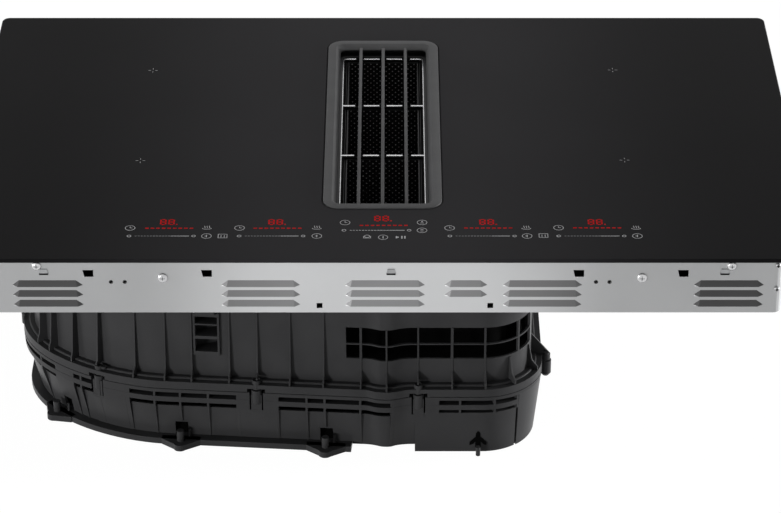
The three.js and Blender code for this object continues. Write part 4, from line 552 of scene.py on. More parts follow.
# the rim of the housing seen from above, against the clock, from the left side
rim_points = straight((-350, -10), (-350, -85))
rim_points += curve((-350, -85), (-350, -155), (-270, -207), (-205, -212))
rim_points += straight((-205, -212), (-21, -227.4))
rim_points += curve((-21, -227.4), (-8.5, -227.4), (-8.5, -232.6), (4, -232.6))
rim_points += curve((4, -232.6), (16.5, -232.6), (16.5, -227.4), (29, -227.4))
rim_points += straight((29, -227.4), (95, -227.4)) + quarter(95, -168.4, -math.pi / 2)
rim_points += straight((154, -168.4), (154, 155)) + quarter(95, 155, 0)
rim_points += straight((95, 214), (-150, 214))
rim_points += curve((-150, 214), (-260, 214), (-350, 100), (-350, -10))
rim_steps = [(b - a).length for a, b in zip(rim_points, rim_points[1:] + rim_points[:1])]
rim_runs = [sum(rim_steps[:i]) for i in range(len(rim_points) + 1)]
rim_length = rim_runs[-1]
RIGHT_SIDE = rim_runs[7 * STEPS]  # the seven stretches of the front end where the right side starts


def edge_out(i):
    """The direction that points out of the housing on one step of the outline."""
    step = rim_points[(i + 1) % len(rim_points)] - rim_points[i % len(rim_points)]
    return Vector((step.y, -step.x)).normalized()


def station(run):
    """Place and outward direction at a length along the outline."""
    run %= rim_length
    i = max(bisect.bisect_right(rim_runs, run) - 1, 0)
    i = min(i, len(rim_points) - 1)
    share = (run - rim_runs[i]) / rim_steps[i]
    at = rim_points[i].lerp(rim_points[(i + 1) % len(rim_points)], share)
    before = (edge_out(i - 1) + edge_out(i)).normalized()
    after = (edge_out(i) + edge_out(i + 1)).normalized()
    return at, before.lerp(after, share).normalized()


def inside(run, inset):
    """A point in plan, this far inside the rim."""
    at, out = station(run)
    return tuple(at - out * inset)


def run_at(x, front=True):
    """Length along the outline where it passes x, on its front or its back."""
    for i, point in enumerate(rim_points):
        following = rim_points[(i + 1) % len(rim_points)]
        if (following.x > point.x) == front and following.x != point.x:
            share = (x - point.x) / (following.x - point.x)
            if 0 <= share < 1:
                return rim_runs[i] + share * rim_steps[i]
    raise ValueError(x)


def runs_between(start, end, also=()):
    """Lengths from one to another: at the steps of the outline, and where asked for."""
    own = [run + lap for lap in (0, rim_length) for run in rim_runs[:-1]]
    kept = [run for run in own if start < run < end and all(abs(run - other) > 0.4 for other in also)]
    if kept and end - kept[-1] < 0.4:
        kept.pop()
    return sorted({start, end, *also, *kept})


print("outline:", len(rim_points), "points,", round(rim_length), "mm long")

# %% [markdown]
# ## Sweeping a profile
# A band, a flange or a fin is one small profile carried along the stations. The profile is a loop
# of (inset, height) corners: how far inside the rim, and how high. `drawn` does the work: each
# corner of the profile is one extrusion of the chain. A moulding also has draft: its walls lean a
# little, or the tool would not come out, and `spot` adds that to every place.


# %% Helpers: sweep and rib
ROOT = 12  # the inset where ribs, webs and panels begin
DRAFT_FOOT, DRAFT_RISE = 6, 52
RIGHT_DRAFT, LEFT_FLARE = 4.8, 4.5


def draft(out, height):
    """How far a wall leans in. The right end tapers to its foot, and the left end flares upwards."""
    rise = min(max((height - DRAFT_FOOT) / DRAFT_RISE, 0), 1)
    return RIGHT_DRAFT * out.x ** 2 * (1 - rise) if out.x > 0 else -LEFT_FLARE * out.x ** 2 * rise


def spot(run, inset, height):
    """The point of the housing at a length, an inset from the rim and a height."""
    at, out = station(run)
    return mm(*(at - out * (inset + draft(out, height))), height)


def sweep(runs, profile, ring=False, joined=True):
    """A profile of (inset, height) corners carried along lengths of the outline."""
    return drawn(len(runs), profile, lambda i, corner: spot(runs[i], *corner), ring, joined,
                 capped=joined and not ring)


def band(start, end, profile):
    """A sweep from one length to another, at the steps of the outline."""
    return sweep(runs_between(start, end), profile)


def slat(first, second, low, high):
    """A profile of four corners, between two insets and two heights."""
    return [(second, high), (first, high), (first, low), (second, low)]


def rib(run, profile, thickness=2.0, leans=True):
    """A plate square to the wall: profile in (depth outwards from the rim, height)."""
    at, out = station(run)
    if leans:
        profile = [(depth - draft(out, height), height) for depth, height in profile]
    frame = Matrix(((out.x, 0, out.y, mm(at.x)), (out.y, 0, -out.x, mm(at.y)), (0, 1, 0, 0), (0, 0, 0, 1)))
    return prism(profile, -thickness / 2, thickness / 2, frame)


print("draft at the foot of the right side:", draft(Vector((1, 0)), 0), "mm")


# %% [markdown]
# Three screw bosses and the duct interrupt the band. Each band is made only where it really runs.
# A full ring with pieces cut out would need booleans, and leaves ends that are hard to keep clean.

# %% Where the housing is interrupted
BAND_BOSSES = [run_at(x) for x in (-274.5, -120.7, 34.2)]
DUCT_LEFT, MOUTH_LEFT, MOUTH_RIGHT, DUCT_RIGHT = -149, -140.8, 76.8, 85
DUCT_Y = (200.5, 214)
DUCT = (run_at(DUCT_RIGHT, front=False), run_at(DUCT_LEFT, front=False))
SLIT = 6.5  # half the room that the lower band leaves at a boss


def stretches(breaks):
    """The parts of the outline between the breaks, each a pair of lengths."""
    breaks = sorted(breaks)
    ends = [start for start, _ in breaks[1:]] + [breaks[0][0] + rim_length]
    return [(stop, start) for (_, stop), start in zip(breaks, ends)]


def clear_of_bosses(room, *more):
    """The parts of the outline with this much room at each boss, and clear of the duct."""
    return stretches([(run - room, run + room) for run in BAND_BOSSES] + [DUCT, *more])


def duct_pad(bar, posts):
    """The block round one half of the duct's mouth: a bar across it and a post at each side."""
    return [slab(DUCT_LEFT, DUCT_RIGHT, *DUCT_Y, *bar), slab(DUCT_LEFT, MOUTH_LEFT, *DUCT_Y, *posts),
            slab(MOUTH_RIGHT, DUCT_RIGHT, *DUCT_Y, *posts)]


clear_of_duct = stretches([DUCT])
print("band in", len(clear_of_bosses(SLIT)), "stretches")

# %% [markdown]
# ## The upper shell
# Its wall is a sheet with a row of levels. The faces of the windows, of the pocket block and of the
# duct's mouth are taken out of the sheet, and the rest is pulled inwards to give it its thickness,
# so every opening gets its own clean edge. A boolean per window would do the same with more faces
# and less order.


# %% Upper shell: the wall
UPPER_FOOT, UPPER_TOP = 62.6, 164
WINDOWS = [(-35.6, -22.4), (-21.5, 3), (4.7, 33.3), (34.5, 64.8), (66.5, 97), (98.8, 137), (138.8, 151.8)]
WINDOW_ROWS = [(99, 113.9), (115.3, 132.7)]


def wall(levels, openings, inset=11.0, thickness=2.5):
    """A wall round the whole outline; openings are (start, end, low, high)."""
    cuts = {run for start, end, *_ in openings for run in (start, end)}
    runs = [0, *runs_between(rim_runs[1], rim_length - rim_steps[-1], also=cuts)]
    part = sweep(runs, [(inset, level) for level in levels], ring=True, joined=False)
    number = part.verts.layers.int["station"]
    gone = []
    for face in part.faces:
        ends = sorted({vert[number] for vert in face.verts})
        run = (runs[ends[0]] + runs[ends[1]]) / 2 if ends[1] - ends[0] == 1 else -1
        height = face.calc_center_median().z * 1000
        if any(start < run < end and low < height < high for start, end, low, high in openings):
            gone.append(face)
    bmesh.ops.delete(part, geom=gone, context="FACES")
    grown = bmesh.ops.extrude_face_region(part, geom=part.faces[:], use_keep_orig=True)["geom"]
    for vert in (g for g in grown if isinstance(g, bmesh.types.BMVert)):
        vert.co = spot(runs[vert[number]], inset + thickness, vert.co.z * 1000)
    return part


windows = [(run_at(x0), run_at(x1), low, high) for x0, x1 in WINDOWS for low, high in WINDOW_ROWS]
pocket_opening = (run_at(-180.7), run_at(-155.5), 97, 143.2)
duct_mouth = (run_at(MOUTH_RIGHT, front=False), run_at(MOUTH_LEFT, front=False), 64, 99.8)
upper_parts = [wall([UPPER_FOOT, 97, 99, 99.8, 113.9, 115.3, 132.7, 143.2, UPPER_TOP],
                    [*windows, pocket_opening, duct_mouth])]

# %% [markdown]
# The wall is thin, so ribs stiffen it, and they are what the eye sees first. Each is a plate
# square to the wall, drawn from its side. It could be one plate copied along the curve by an
# array. But those by the windows, at the left end and on the right arc differ in height and
# slope, so a loop picks the side view. Skirt, flange and bosses join the upper shell to the lower.

# %% Upper shell: skirt, flange, ribs, ears and duct pad
FRONT_RIBS = [-333.6, -321.9, -299.8, -274.8, -238.9, -208.4, -182.6, -146.5, -119.9, -88.6, -56.6,
              -20.8, 3.8, 33.8, 66.4, 98.1, 127.1, 149.5]
BOSS_REACH = -4
EARS = [(54, 4.2), (RIGHT_SIDE + 8.4, 4.2)]  # length and reach of the two bosses outside the rim
BACK_PITCH, BACK_START, DUCT_MARGIN = 96, -120, 6
FLANGE_FOOT, FLANGE_TOP = 70.9, 72.9
INSIDE = 13.4  # an inset that lies within the wall


def back_ribs():
    """Ribs at equal steps along the sides and the back, clear of the duct."""
    runs = [20 + BACK_PITCH * i for i in range(int(rim_length / BACK_PITCH))]
    places = [(run, station(run)[0]) for run in runs]
    left, right = DUCT_LEFT - DUCT_MARGIN, DUCT_RIGHT + DUCT_MARGIN
    return [run for run, at in places if at.y > BACK_START and (at.y < 0 or not left <= at.x <= right)]


def upper_rib(run):
    """A rib of the upper shell. Its outer edge leans in with height, by a slope for each stretch."""
    foot, knee = (76, 78) if any(abs(run - other) < 6 for other in BAND_BOSSES) else (FLANGE_FOOT, 75)
    lean = [(-10.3, 156), (-6.4, 81)]
    if run_at(-21) < run < run_at(98.2):
        lean = [(-10.2, 133), (-10.2, 86)]
    elif run_at(127) < run < run_at(150):
        lean = [(-9.6, 97), (-6.4, 81)]
    elif run < run_at(-250):
        lean = [(-7.6, 156), (-2.6, 81)]
    return rib(run, [(-ROOT, lean[0][1]), *lean, (-0.5, knee), (-0.5, foot), (-ROOT, foot)], 1.6)


def boss(run, reach, radius, low, high, sink=0.0):
    """A round boss with the web that carries it; a sunk one has a recess for the screw's head."""
    centre = inside(run, -reach)
    side = [(-ROOT, low), (reach, low), (reach, high - sink), (-ROOT, high - sink)]
    web = rib(run, side, 4, leans=False)
    if not sink:
        return [post(*centre, low, high, radius), web]
    tube = turned(*centre, [(radius, low), (radius, high), (radius - 1, high), (radius - 1, high - sink)],
                  joined=False, capped=True)
    return [tube, web]


upper_parts += [upper_rib(run) for run in [run_at(x) for x in FRONT_RIBS] + back_ribs()]
for start, end in clear_of_duct:
    upper_parts.append(band(start, end, [(INSIDE, FLANGE_FOOT), (INSIDE, FLANGE_TOP), (6.5, FLANGE_TOP),
                                         (5.5, 72.2), (5.5, FLANGE_FOOT)]))
for start, end in clear_of_bosses(8.6):
    upper_parts.append(band(start, end, [(INSIDE, FLANGE_FOOT), (0, FLANGE_FOOT), (0, 63),
                                         (0.45, UPPER_FOOT), (INSIDE, UPPER_FOOT)]))
for run in BAND_BOSSES:
    upper_parts.append(sweep([run - 9, run, run + 9], slat(0.04, INSIDE, 66.4, FLANGE_FOOT)))
    upper_parts += boss(run, BOSS_REACH, 4.2, 65.4, 75, sink=2.8)
for run, reach in EARS:
    upper_parts += boss(run, reach, 4.2, 65.4, 71.5)
    upper_parts.append(rib(run, [(-ROOT, 70), (7, 70), (7, 73), (-ROOT, 96)], leans=False))
upper_parts += duct_pad((99.8, 108), (64.6, 99.8))

# %% [markdown]
# The block with three pockets stands a little proud of the wall. A pocket's back wall slants in
# plan, so it catches the light. The block could be one body with three rooms cut out. It is built
# in layers instead: a full slice between two pockets, and three walls round each pocket.


# %% Upper shell: the pocket block
SLICES = [(97, 101.2), (114.9, 118.3), (130, 131.5), (139.2, 143.2)]
POCKETS = [(131.5, 139.2), (118.3, 130), (101.2, 114.9)]
FULL_SLICE = [(-180.7, 8), (-155.5, 8), (-155.5, 33), (-180.7, 22)]
POCKET_WALLS = [[(-180.7, 8), (-178.7, 8), (-178.7, 22), (-180.7, 22)],
                [(-157.5, 8), (-155.5, 8), (-155.5, 33), (-157.5, 33)],
                [(-178.7, 19), (-157.5, 29), (-157.5, 33), (-178.7, 22)]]
BLOCK_CAP = [(-11, 142), (-6.2, 142), (-5.4, 144), (-5.4, 148), (-6.2, 150), (-11, 150)]


def plan(corners):
    """Corners in plan, each given as (x, inset from the rim)."""
    return [inside(run_at(x), inset) for x, inset in corners]


upper_parts += [prism(plan(FULL_SLICE), low, high) for low, high in SLICES]
upper_parts += [prism(plan(corners), low, high) for low, high in POCKETS for corners in POCKET_WALLS]
upper_parts.append(rib(run_at(-168.1), BLOCK_CAP, 17))
gather("upper_shell", upper_parts, moulding, stands_for=("upper_housing",), edge=0.35)

# %% [markdown]
# Behind the windows lies a long box, open to the front. Hardly any light gets in there, so its
# inside is painted shade: a near-black finish, darker than the moulding.

# %% Upper shell: the box behind the windows
BOX_PROFILE = [(11.5, 134.7), (37, 134.7), (37, 97), (11.5, 97), (11.5, 98.9), (35, 98.9), (35, 132.8),
               (11.5, 132.8)]
gather("window_boxes", [band(run_at(-37.6), RIGHT_SIDE + 4, BOX_PROFILE)], shade_black)

# %% [markdown]
# ## The lower shell
# The lower shell has the other half of the band, with a fine groove at the joint, a fin under it,
# and a row of ribs that makes slots between the two. The slots could be cut into a thick wall, but
# the tool makes them as gaps between slats, and so does this script. A near-black sheet behind them
# is painted shade: it stands for the shadow inside, and a second one does the same behind the lobes.
# Blank panels close the slots round the bosses.


# %% Lower shell: bands, slots and ribs
LOWER_RIBS = [-331, -299, -291, -273, -248, -218.9, -194, -167.2, -137.7, -101.8, -72.7, -55.4, -21.3,
              10.3, 52, 74, 107.2, 129.6]
LOBES = [run_at(x) for x in (-317, -194.5, -54.7)]
SLOT_FOOT, SLOT_TOP, LOWER_FOOT = 44.3, 59.7, 6.6
lower_parts, shade_parts = [], []


def slant(height):
    """Inset of the ribs' outer edge and of the blank panels: they lean in below the slots."""
    return 0.2 + max(SLOT_FOOT - height, 0) * 0.2334


def lower_band(start, end, profile):
    lower_parts.append(band(start, end, profile))


def lower_rib(run, foot, proud=0.0):
    lower_parts.append(rib(run, [(-ROOT, foot), (proud - slant(foot), foot), (-0.1, SLOT_FOOT), (-0.1, 59.5),
                                 (-ROOT, 59.5)]))


for start, end in clear_of_duct:
    lower_band(start, end, [(3.4, 42.2), (5.8, 42.2), (9.3, 22), (6.9, 22)])
    shade_parts.append(band(start, end, slat(INSIDE, 11, 38, 62)))
lobe_gaps = [(LOBES[0] + 2, LOBES[0] + 13), *((run - 6, run + 6.5) for run in LOBES[1:])]
for start, end in stretches([*lobe_gaps, DUCT]):
    lower_band(start, end, [(6.43, 24.5), (8.9, 24.5), (ROOT, LOWER_FOOT), (9.54, LOWER_FOOT)])
shade_parts.append(band(LOBES[0] - 12, LOBES[2] + 12, slat(16, 14, 6.5, 26)))
for start, end in clear_of_bosses(SLIT):
    lower_band(start, end, [(INSIDE, 62.2), (0.45, 62.2), (0, 61.8), (0, 58.7), (INSIDE, 58.7)])
for start, end in clear_of_bosses(SLIT, (run_at(129.6), RIGHT_SIDE + 20)):
    lower_band(start, end, slat(0, 10.9, 48.4, 53.8))
for x in LOWER_RIBS:
    lower_rib(run_at(x), 44 if x > 31 else 24 if x in (-194, -55.4) else LOWER_FOOT, proud=0.1)
for run in back_ribs():
    lower_rib(run, LOWER_FOOT)

# %% [markdown]
# Round each boss a blank panel closes the slots, set back a little behind the boss itself. On the
# right the wall stands near the rim and is smooth. Panels that lie in one plane and overlap would
# show dark squares, so one of each pair is 0.06 mm deeper.


# %% Lower shell: blank panels, bosses and floor
PANELS = [(-279.5, -243), (-140, -99.5), (8, 31)]
SET_BACK = 0.06


def panel(foot):
    """Profile of a blank panel over the slots, down to its foot."""
    return [(ROOT, SLOT_TOP), (0.2, SLOT_TOP), (0.2, SLOT_FOOT), (slant(foot), foot), (ROOT, foot)]


for middle, (x0, x1) in zip(BAND_BOSSES, PANELS):
    start, end = run_at(x0), run_at(x1)
    for first, last in ((start, middle - SLIT), (middle + SLIT, end)):
        if first < last:
            lower_band(first, last, panel(30))
    lower_band(middle - 5.1, middle + 5.1, slat(0.8, ROOT, 40, SLOT_TOP))
    lower_band(start, end, [(ROOT, 43), (slant(43) + SET_BACK, 43),
                            (slant(LOWER_FOOT) + SET_BACK, LOWER_FOOT), (ROOT, LOWER_FOOT)])
lower_band(BAND_BOSSES[2] + SLIT, run_at(54), slat(0.2, ROOT, 44, SLOT_TOP))
for run, reach in [(run, BOSS_REACH) for run in BAND_BOSSES] + EARS:
    lower_parts += boss(run, reach, 5.2, 50.5, 64.4)
    lower_parts.append(post(*inside(run, -reach), 47.6, 50.5, 3, 5.2))
lower_band(run_at(31), run_at(129.2), [(1.5, SLOT_FOOT), (10.9, SLOT_FOOT), (10.9, 0), (2.7, 0)])
lower_band(run_at(131), RIGHT_SIDE + 20, [(0.3, SLOT_TOP), (10.9, SLOT_TOP), (10.9, 0), (2.2, 0)])
lower_band(run_at(-316.3), run_at(-299), panel(23))
floor_runs = runs_between(run_at(-30), run_at(-30, front=False))
lower_parts.append(sweep(floor_runs, [(10.6, 7.6), (13, 7.6), (13, 3), (11, 3)]))
lower_parts.append(prism([inside(run, 12.5) for run in floor_runs], 3.1, 5.5))
lower_parts += duct_pad((LOWER_FOOT, 15.2), (15.2, 64.6))

# %% [markdown]
# At the foot of the right part stands a thin pin with a web, and over it the wall has a small
# recess in the shape of an arrow. A near-black plate that stands out by a hair draws it without a
# cut: its colour is painted shade for the recess.

# %% Lower shell: pin and arrow
PIN_X = 91.6
pin_y = station(run_at(PIN_X))[0].y
lower_parts += [post(PIN_X, pin_y - 4, 0, 9, 2.2), slab(90, 93.2, pin_y - 4, pin_y + 6, 3, 8)]
gather("lower_shell", lower_parts, moulding, stands_for=("lower_housing",), edge=0.35)
arrow = [(0, 23.5), (2, 21), (2.2, 17), (8, 11), (8.2, 8), (5, 9), (2.6, 12), (2.6, 5)]
arrow += [(-x, z) for x, z in reversed(arrow[1:])]
upright = Matrix(((1, 0, 0, mm(PIN_X)), (0, 0, 1, mm(pin_y + 2.2)), (0, 1, 0, 0), (0, 0, 0, 1)))
shade_parts.append(prism(arrow, -0.9, 0.4, upright))
gather("painted_slot_shade", shade_parts, shade_black)

# %% [markdown]
# ## The bottom cover
# The cover closes the left part of the housing from below. Lobes on its edge carry pins that reach
# up beside the wall. A lobe is a flat outline with a round end, drawn once and placed by station.


# %% Bottom cover
COVER_END = -30.3
LOBE_RADIUS, LOBE_HALF, LOBE_ROOT = 6.5, 19, 6.5


def lobe(run):
    """A rounded lobe outside the rim, with its pin."""
    at, out = station(run)
    along = Vector((-out.y, out.x))

    def beside(side, depth):
        return tuple(at + along * side + out * depth)

    turns = [math.radians(36 + 12 * i) for i in range(10, -1, -1)]
    end = [(LOBE_RADIUS * math.cos(turn), 6.1 + LOBE_RADIUS * math.sin(turn)) for turn in turns]
    outline = [(-LOBE_HALF, -LOBE_ROOT), (-LOBE_HALF, 0), *end, (LOBE_HALF, 0), (LOBE_HALF, -LOBE_ROOT)]
    return [prism([beside(*corner) for corner in outline], 0, 6.3),
            post(*beside(0, 1.6), 6, 17.4, 3.6, sides=24), post(*beside(8, -LOBE_ROOT), 2, 15, 1.2, sides=16)]


cover_runs = runs_between(run_at(COVER_END, front=False), run_at(COVER_END) + rim_length)
cover_parts = [sweep(cover_runs, slat(16, 0, 0, 6.3)),
               prism([inside(run, 1) for run in cover_runs], 0, 2.5)]
for run in LOBES + [run_at(x, front=False) for x in (-300, -180)]:
    cover_parts += lobe(run)
gather("cover_tray", cover_parts, moulding, stands_for=("bottom_cover",), edge=0.35)

# %% [markdown]
# ## The glass
# The top is a 4 mm sheet of black glass ceramic. Its edge is ground: a slim chamfer above, a
# straight side, a chamfer below, and the same round the vent. A bevel modifier would round all
# edges alike. Here each edge is a loop with rounded corners, and the loops are bridged in turn.


# %% Glass sheet
VENT_Y = 19.6


def round_vent(*rows):
    """Loops round the vent's middle, from (width, length, radius, height) rows."""
    return [(width, length, radius, VENT_Y, height) for width, length, radius, height in rows]


glass_loops = [(802, 522, 8, 0, 228.7), (802, 522, 8, 0, 231.1), (800.2, 520.2, 7.1, 0, 232)]
glass_loops += round_vent((116, 368.6, 18, 232), (114.2, 366.8, 17.1, 231.1), (114.2, 366.8, 17.1, 228))
glass_loops += [(800.6, 520.6, 7.3, 0, 228)]
gather("glass_sheet", [stacked(glass_loops)], ceramic, stands_for=("glass_top",))

# %% [markdown]
# ## The vent
# The grille is one moulding: a flat rim, a slope down into the well, and three bars from front to
# back. The bars have round tops and thin out at their ends, which a stretched block would not do,
# so each is a side view pulled out across its width. The grille lies loose, so it rides its own
# body.


# %% Grille
grille_loops = round_vent(
    (113, 365.6, 16.5, 221.5), (113, 365.6, 16.5, 232.3), (112.4, 365, 16.2, 233), (111.4, 364, 15.7, 233.2),
    (96.6, 349.2, 8.4, 233.2), (95.8, 348.4, 8, 232.8), (88.4, 339.6, 6, 228.8), (88, 339.2, 6, 227.8),
    (104, 356, 12, 226.4), (104, 356, 12, 221.5))
BAR_HALF, BAR_ROUNDING, BAR_PITCH = 1.65, 1.1, 22.9


def bar(x):
    """A bar along Y: its side view pulled out across its width, then its long edges rounded."""
    side = [(-152, 226.8), (-149, 223.8), (188.2, 223.8), (191.2, 226.8), (193, 229.4), (188, 231.8),
            (-148.8, 231.8), (-153.8, 229.4)]
    frame = Matrix(((0, 0, 1, mm(x)), (1, 0, 0, 0), (0, 1, 0, 0), (0, 0, 0, 1)))
    part = prism(side, -BAR_HALF, BAR_HALF, frame)
    bmesh.ops.recalc_face_normals(part, faces=part.faces)
    long_edges = [edge for edge in part.edges if abs((edge.verts[0].co - edge.verts[1].co).x) < WELD]
    bmesh.ops.bevel(part, geom=long_edges, offset=mm(BAR_ROUNDING), offset_type="OFFSET", affect="EDGES",
                    segments=4, profile=0.5, material=-1)
    return part


grille_parts = [stacked(grille_loops), *(bar(x) for x in (-BAR_PITCH, 0, BAR_PITCH))]
gather("vent_frame", grille_parts, satin, body="grille", stands_for=("vent_grille",))

# %% [markdown]
# ## The grease filter
# Under the grille stands a bright steel filter: a flat rim, cross plates with small round holes,
# and straps over the plates. Down in the vent the plates lie in shade, so their colour is painted
# shade, near black, with a painted glint at each hole. The holes are far too many to cut, so the
# plate's finish draws the glints: two grids of dots, one shifted by half a step, worked out from
# the Object coordinates.


# %% Finish: perforated steel
COLUMN_PITCH, ROW_PITCH, GLINT_RADIUS = 6.4, 5.4, 0.68


def perforated(name, dark, light, glint):
    """Steel with rows of painted glints in the XZ plane, every other column half a step lower."""
    material = finish(name, dark, light, 0.4, metal=0.5, drift=70, grain=1400, bump=0.05)
    tree = material.node_tree
    place = add(tree, "SeparateXYZ", {0: add(tree, "TexCoord").outputs["Object"]})

    def off_line(axis, pitch, shift):
        """Distance in millimetres to the nearest line of a row of lines."""
        steps = maths(tree, "ADD", maths(tree, "MULTIPLY", place.outputs[axis], 1000 / pitch), shift)
        return maths(tree, "MULTIPLY", maths(tree, "SUBTRACT", maths(tree, "FRACT", steps), 0.5), pitch)

    def off_point(shift):
        """Distance in millimetres to the nearest point of one grid."""
        sides = [off_line("X", COLUMN_PITCH, shift), off_line("Z", ROW_PITCH, shift)]
        return maths(tree, "SQRT", maths(tree, "ADD", *(maths(tree, "MULTIPLY", d, d) for d in sides)))

    nearest = maths(tree, "MINIMUM", off_point(0), off_point(0.5))
    mix = add(tree, "Mix", {"Factor": maths(tree, "LESS_THAN", nearest, GLINT_RADIUS),
                            "A": tree.nodes["drift"].outputs["Color"], "B": tint(*glint)}, data_type="RGBA")
    fill(tree.nodes["Principled BSDF"], {"Base Color": mix.outputs["Result"]})
    return material


# %% [markdown]
# The rim is one stack of loops, like the glass. The straps are short pieces with gaps between them,
# because the grille's bars hide what lies under them. A ledge in near-black painted shade closes the
# view past the rim.

# %% Filter rim, straps and plates
RIM_FOOT, RIM_TOP, PLATE_FOOT = 217.3, 219.9, 156.5
STRAPS = [(-41, -28), (-19.5, -3.5), (3.5, 19.5), (28, 41)]
rim_loops = round_vent(
    (83.4, 336, 5, RIM_FOOT), (83.4, 336, 5, 219.5), (82.8, 335.4, 4.7, RIM_TOP), (81, 332.8, 3.8, RIM_TOP),
    (80.4, 332.2, 3.5, 219.5), (80.4, 332.2, 3.5, RIM_FOOT))
strap_parts = [slab(x0, x1, y, y + 2.3, 218.9, 220) for y in (-31.7, 76.7) for x0, x1 in STRAPS]
gather("filter_frame", [stacked(rim_loops), *strap_parts], bright, body="filter", edge=0.2)
ledge_loops = round_vent((80.3, 332.1, 3.5, RIM_FOOT), (80.3, 332.1, 3.5, 218.3), (75.4, 328, 2, 218.3),
                         (75.4, 328, 2, RIM_FOOT))
ledge_parts = [stacked(ledge_loops), *(slab(-40.5, 40.5, y, y + 4, RIM_FOOT, 218.8) for y in (-34, 74.4))]
for (_, x0), (x1, _) in zip(STRAPS, STRAPS[1:]):
    ledge_parts.append(slab(x0, x1, 185.2, 187.7, 219.2, 220.1))
gather("filter_ledge", ledge_parts, shade_black, body="filter")
# The plates' near-black colour is painted shade, and the glints are painted highlights.
glints_on_painted_shade = perforated("perforated_painted_shade", (5, 5, 5), (7, 7, 7), (236, 236, 238))
plate_parts = [slab(-34.79, 34.79, y, y + 2, PLATE_FOOT, RIM_FOOT) for y in (-143.9, -35.6, 72.8, 181.1)]
gather("filter_plates", plate_parts, glints_on_painted_shade, body="filter", stands_for=("filter_rim",))

# %% [markdown]
# ## The controls
# The marks are printed under the glass. A picture on the glass would blur near by, so they are thin
# plates, a twentieth of a millimetre high, on its top: light grey for the signs, red for the
# seven-segment digits and the row of dashes under each. The figures are plain eights.


# %% Helpers: thin marks
MARK_LOW, MARK_HIGH = 232.01, 232.07
LINE = 0.6


def dash(x, y, wide, deep):
    return slab(x - wide / 2, x + wide / 2, y - deep / 2, y + deep / 2, MARK_LOW, MARK_HIGH)


def ring_mark(x, y, radius, width=0.55, sides=28):
    inner = radius - width
    return turned(x, y, [(radius, MARK_LOW), (radius, MARK_HIGH), (inner, MARK_HIGH), (inner, MARK_LOW)],
                  sides)


def strokes(x, y, *rows):
    """Dashes about a middle, from (right, up, wide, deep) rows."""
    return [dash(x + right, y + up, wide, deep) for right, up, wide, deep in rows]


def eight(x, y, wide, deep, stroke):
    """A figure 8 of seven bars."""
    across = [(0, up, wide - stroke * 1.2, stroke) for up in (-deep / 2, 0, deep / 2)]
    upright = [(side, up, stroke, deep / 2 - stroke * 0.6) for side in (-wide / 2, wide / 2)
               for up in (-deep / 4, deep / 4)]
    return strokes(x, y, *across, *upright)


def display(x, y):
    """Two figures and a stop."""
    figures = [bar for middle in (x - 5.2, x + 2.6) for bar in eight(middle, y, 4.6, 9.6, 1.55)]
    return figures + [dash(x + 7.6, y - 4.6, 1.6, 1.9)]


# %% [markdown]
# Each sign is a few dashes about its middle, in a ring or not. Every zone has the same signs, so a
# function draws each of them and only its place differs.


# %% Helpers: signs
SIGN_RADIUS, SLIDER_PIECES = 4.8, 18


def clock(x, y):
    return [ring_mark(x, y, SIGN_RADIUS), *strokes(x, y, (0, 1.3, LINE, 2.6), (1.1, 0, 2.2, LINE))]


def power(x, y):
    """A ring with a bar through its middle."""
    return [ring_mark(x, y, SIGN_RADIUS), *strokes(x, y, (0, 0, 0.8, 4.6), (-1.1, 0, 1.6, 0.7))]


def wisps(x, y):
    """Three rising wisps over a line that turns up at its ends."""
    rising = [(shift + lean, up, LINE, long) for shift in (-2.2, 0, 2.2)
              for lean, up, long in ((0, 2.6, 2.0), (0.4, 0.4, 2.2))]
    return strokes(x, y, (0, -2.8, 6.2, 0.7), (-3.9, -1.6, 0.9, 1.4), (3.9, -1.6, 0.9, 1.4), *rising)


def bridge(x, y):
    """A small frame with a shorter one in it, for two zones joined."""
    return strokes(x, y, (0, 3.6, 8.2, LINE), (0, -3.6, 8.2, LINE), (-4.1, 0, LINE, 7.4), (4.1, 0, LINE, 7.4),
                   (-1.4, -0.6, LINE, 4.4), (1.6, -0.6, LINE, 4.4))


def slider(x0, x1, y, faint):
    """A touch line of short pieces, faint up to a share of its length: the faint and the clear ones."""
    step = (x1 - x0) / SLIDER_PIECES
    bunches = [], []
    for i in range(SLIDER_PIECES):
        share = i / (SLIDER_PIECES - 1)
        piece = dash(x0 + (i + 0.5) * step, y, step * (0.6 + 0.4 * share), 0.7 + 0.3 * share)
        bunches[share > faint].append(piece)
    return bunches


def dash_row(x, y):
    return [dash(x - 20.8 + 5.2 * i, y, 3.3, 1.9) for i in range(9)]


# %% [markdown]
# Five groups of marks stand along the front edge: one for each of the four zones, and one for the
# fan in the middle. They are nearly alike, but not evenly spaced, so their places are in tables.

# %% The marks of the five groups
CLOCKS = [(-235.8, -201), (-133.5, -201), (-35, -190.4), (62.8, -201), (164.7, -200.5)]
SLIDERS = [(-231, -180, -216.6, 0.7), (-128.5, -78, -216.6, 0.7), (-31, 20.7, -205.6, -1),
           (67.7, 118.8, -216.6, 0.7), (169, 220.8, -216.6, 0.7)]
DISPLAYS = [(-200.2, -189.5), (-98.8, -189.5), (0.5, -182.5), (99, -189.4), (200.8, -189.4)]
DASH_ROWS = [(-199.2, -201.6), (-98.0, -201.6), (1.2, -196), (99, -201.2), (200.8, -200.8)]
white_marks = [mark for place in CLOCKS for mark in clock(*place)]
dim_marks = []
for x0, x1, y, share in SLIDERS:
    faint, clear = slider(x0, x1, y, share)
    dim_marks += faint
    white_marks += [*clear, ring_mark(x0 - 4.8, y, 2.1, 0.65, 18), ring_mark(x1 + 4.3, y, 2, 0.65, 18)]
red_marks = [mark for place in DISPLAYS for mark in display(*place)]
red_marks += [mark for place in DASH_ROWS for mark in dash_row(*place)]
for x in (-164, -61.3, 134.5, 237.1):
    white_marks += wisps(x, -200.5) + power(x + 0.3, -216.6)
white_marks += bridge(-148.7, -216.6) + bridge(150, -215.7)
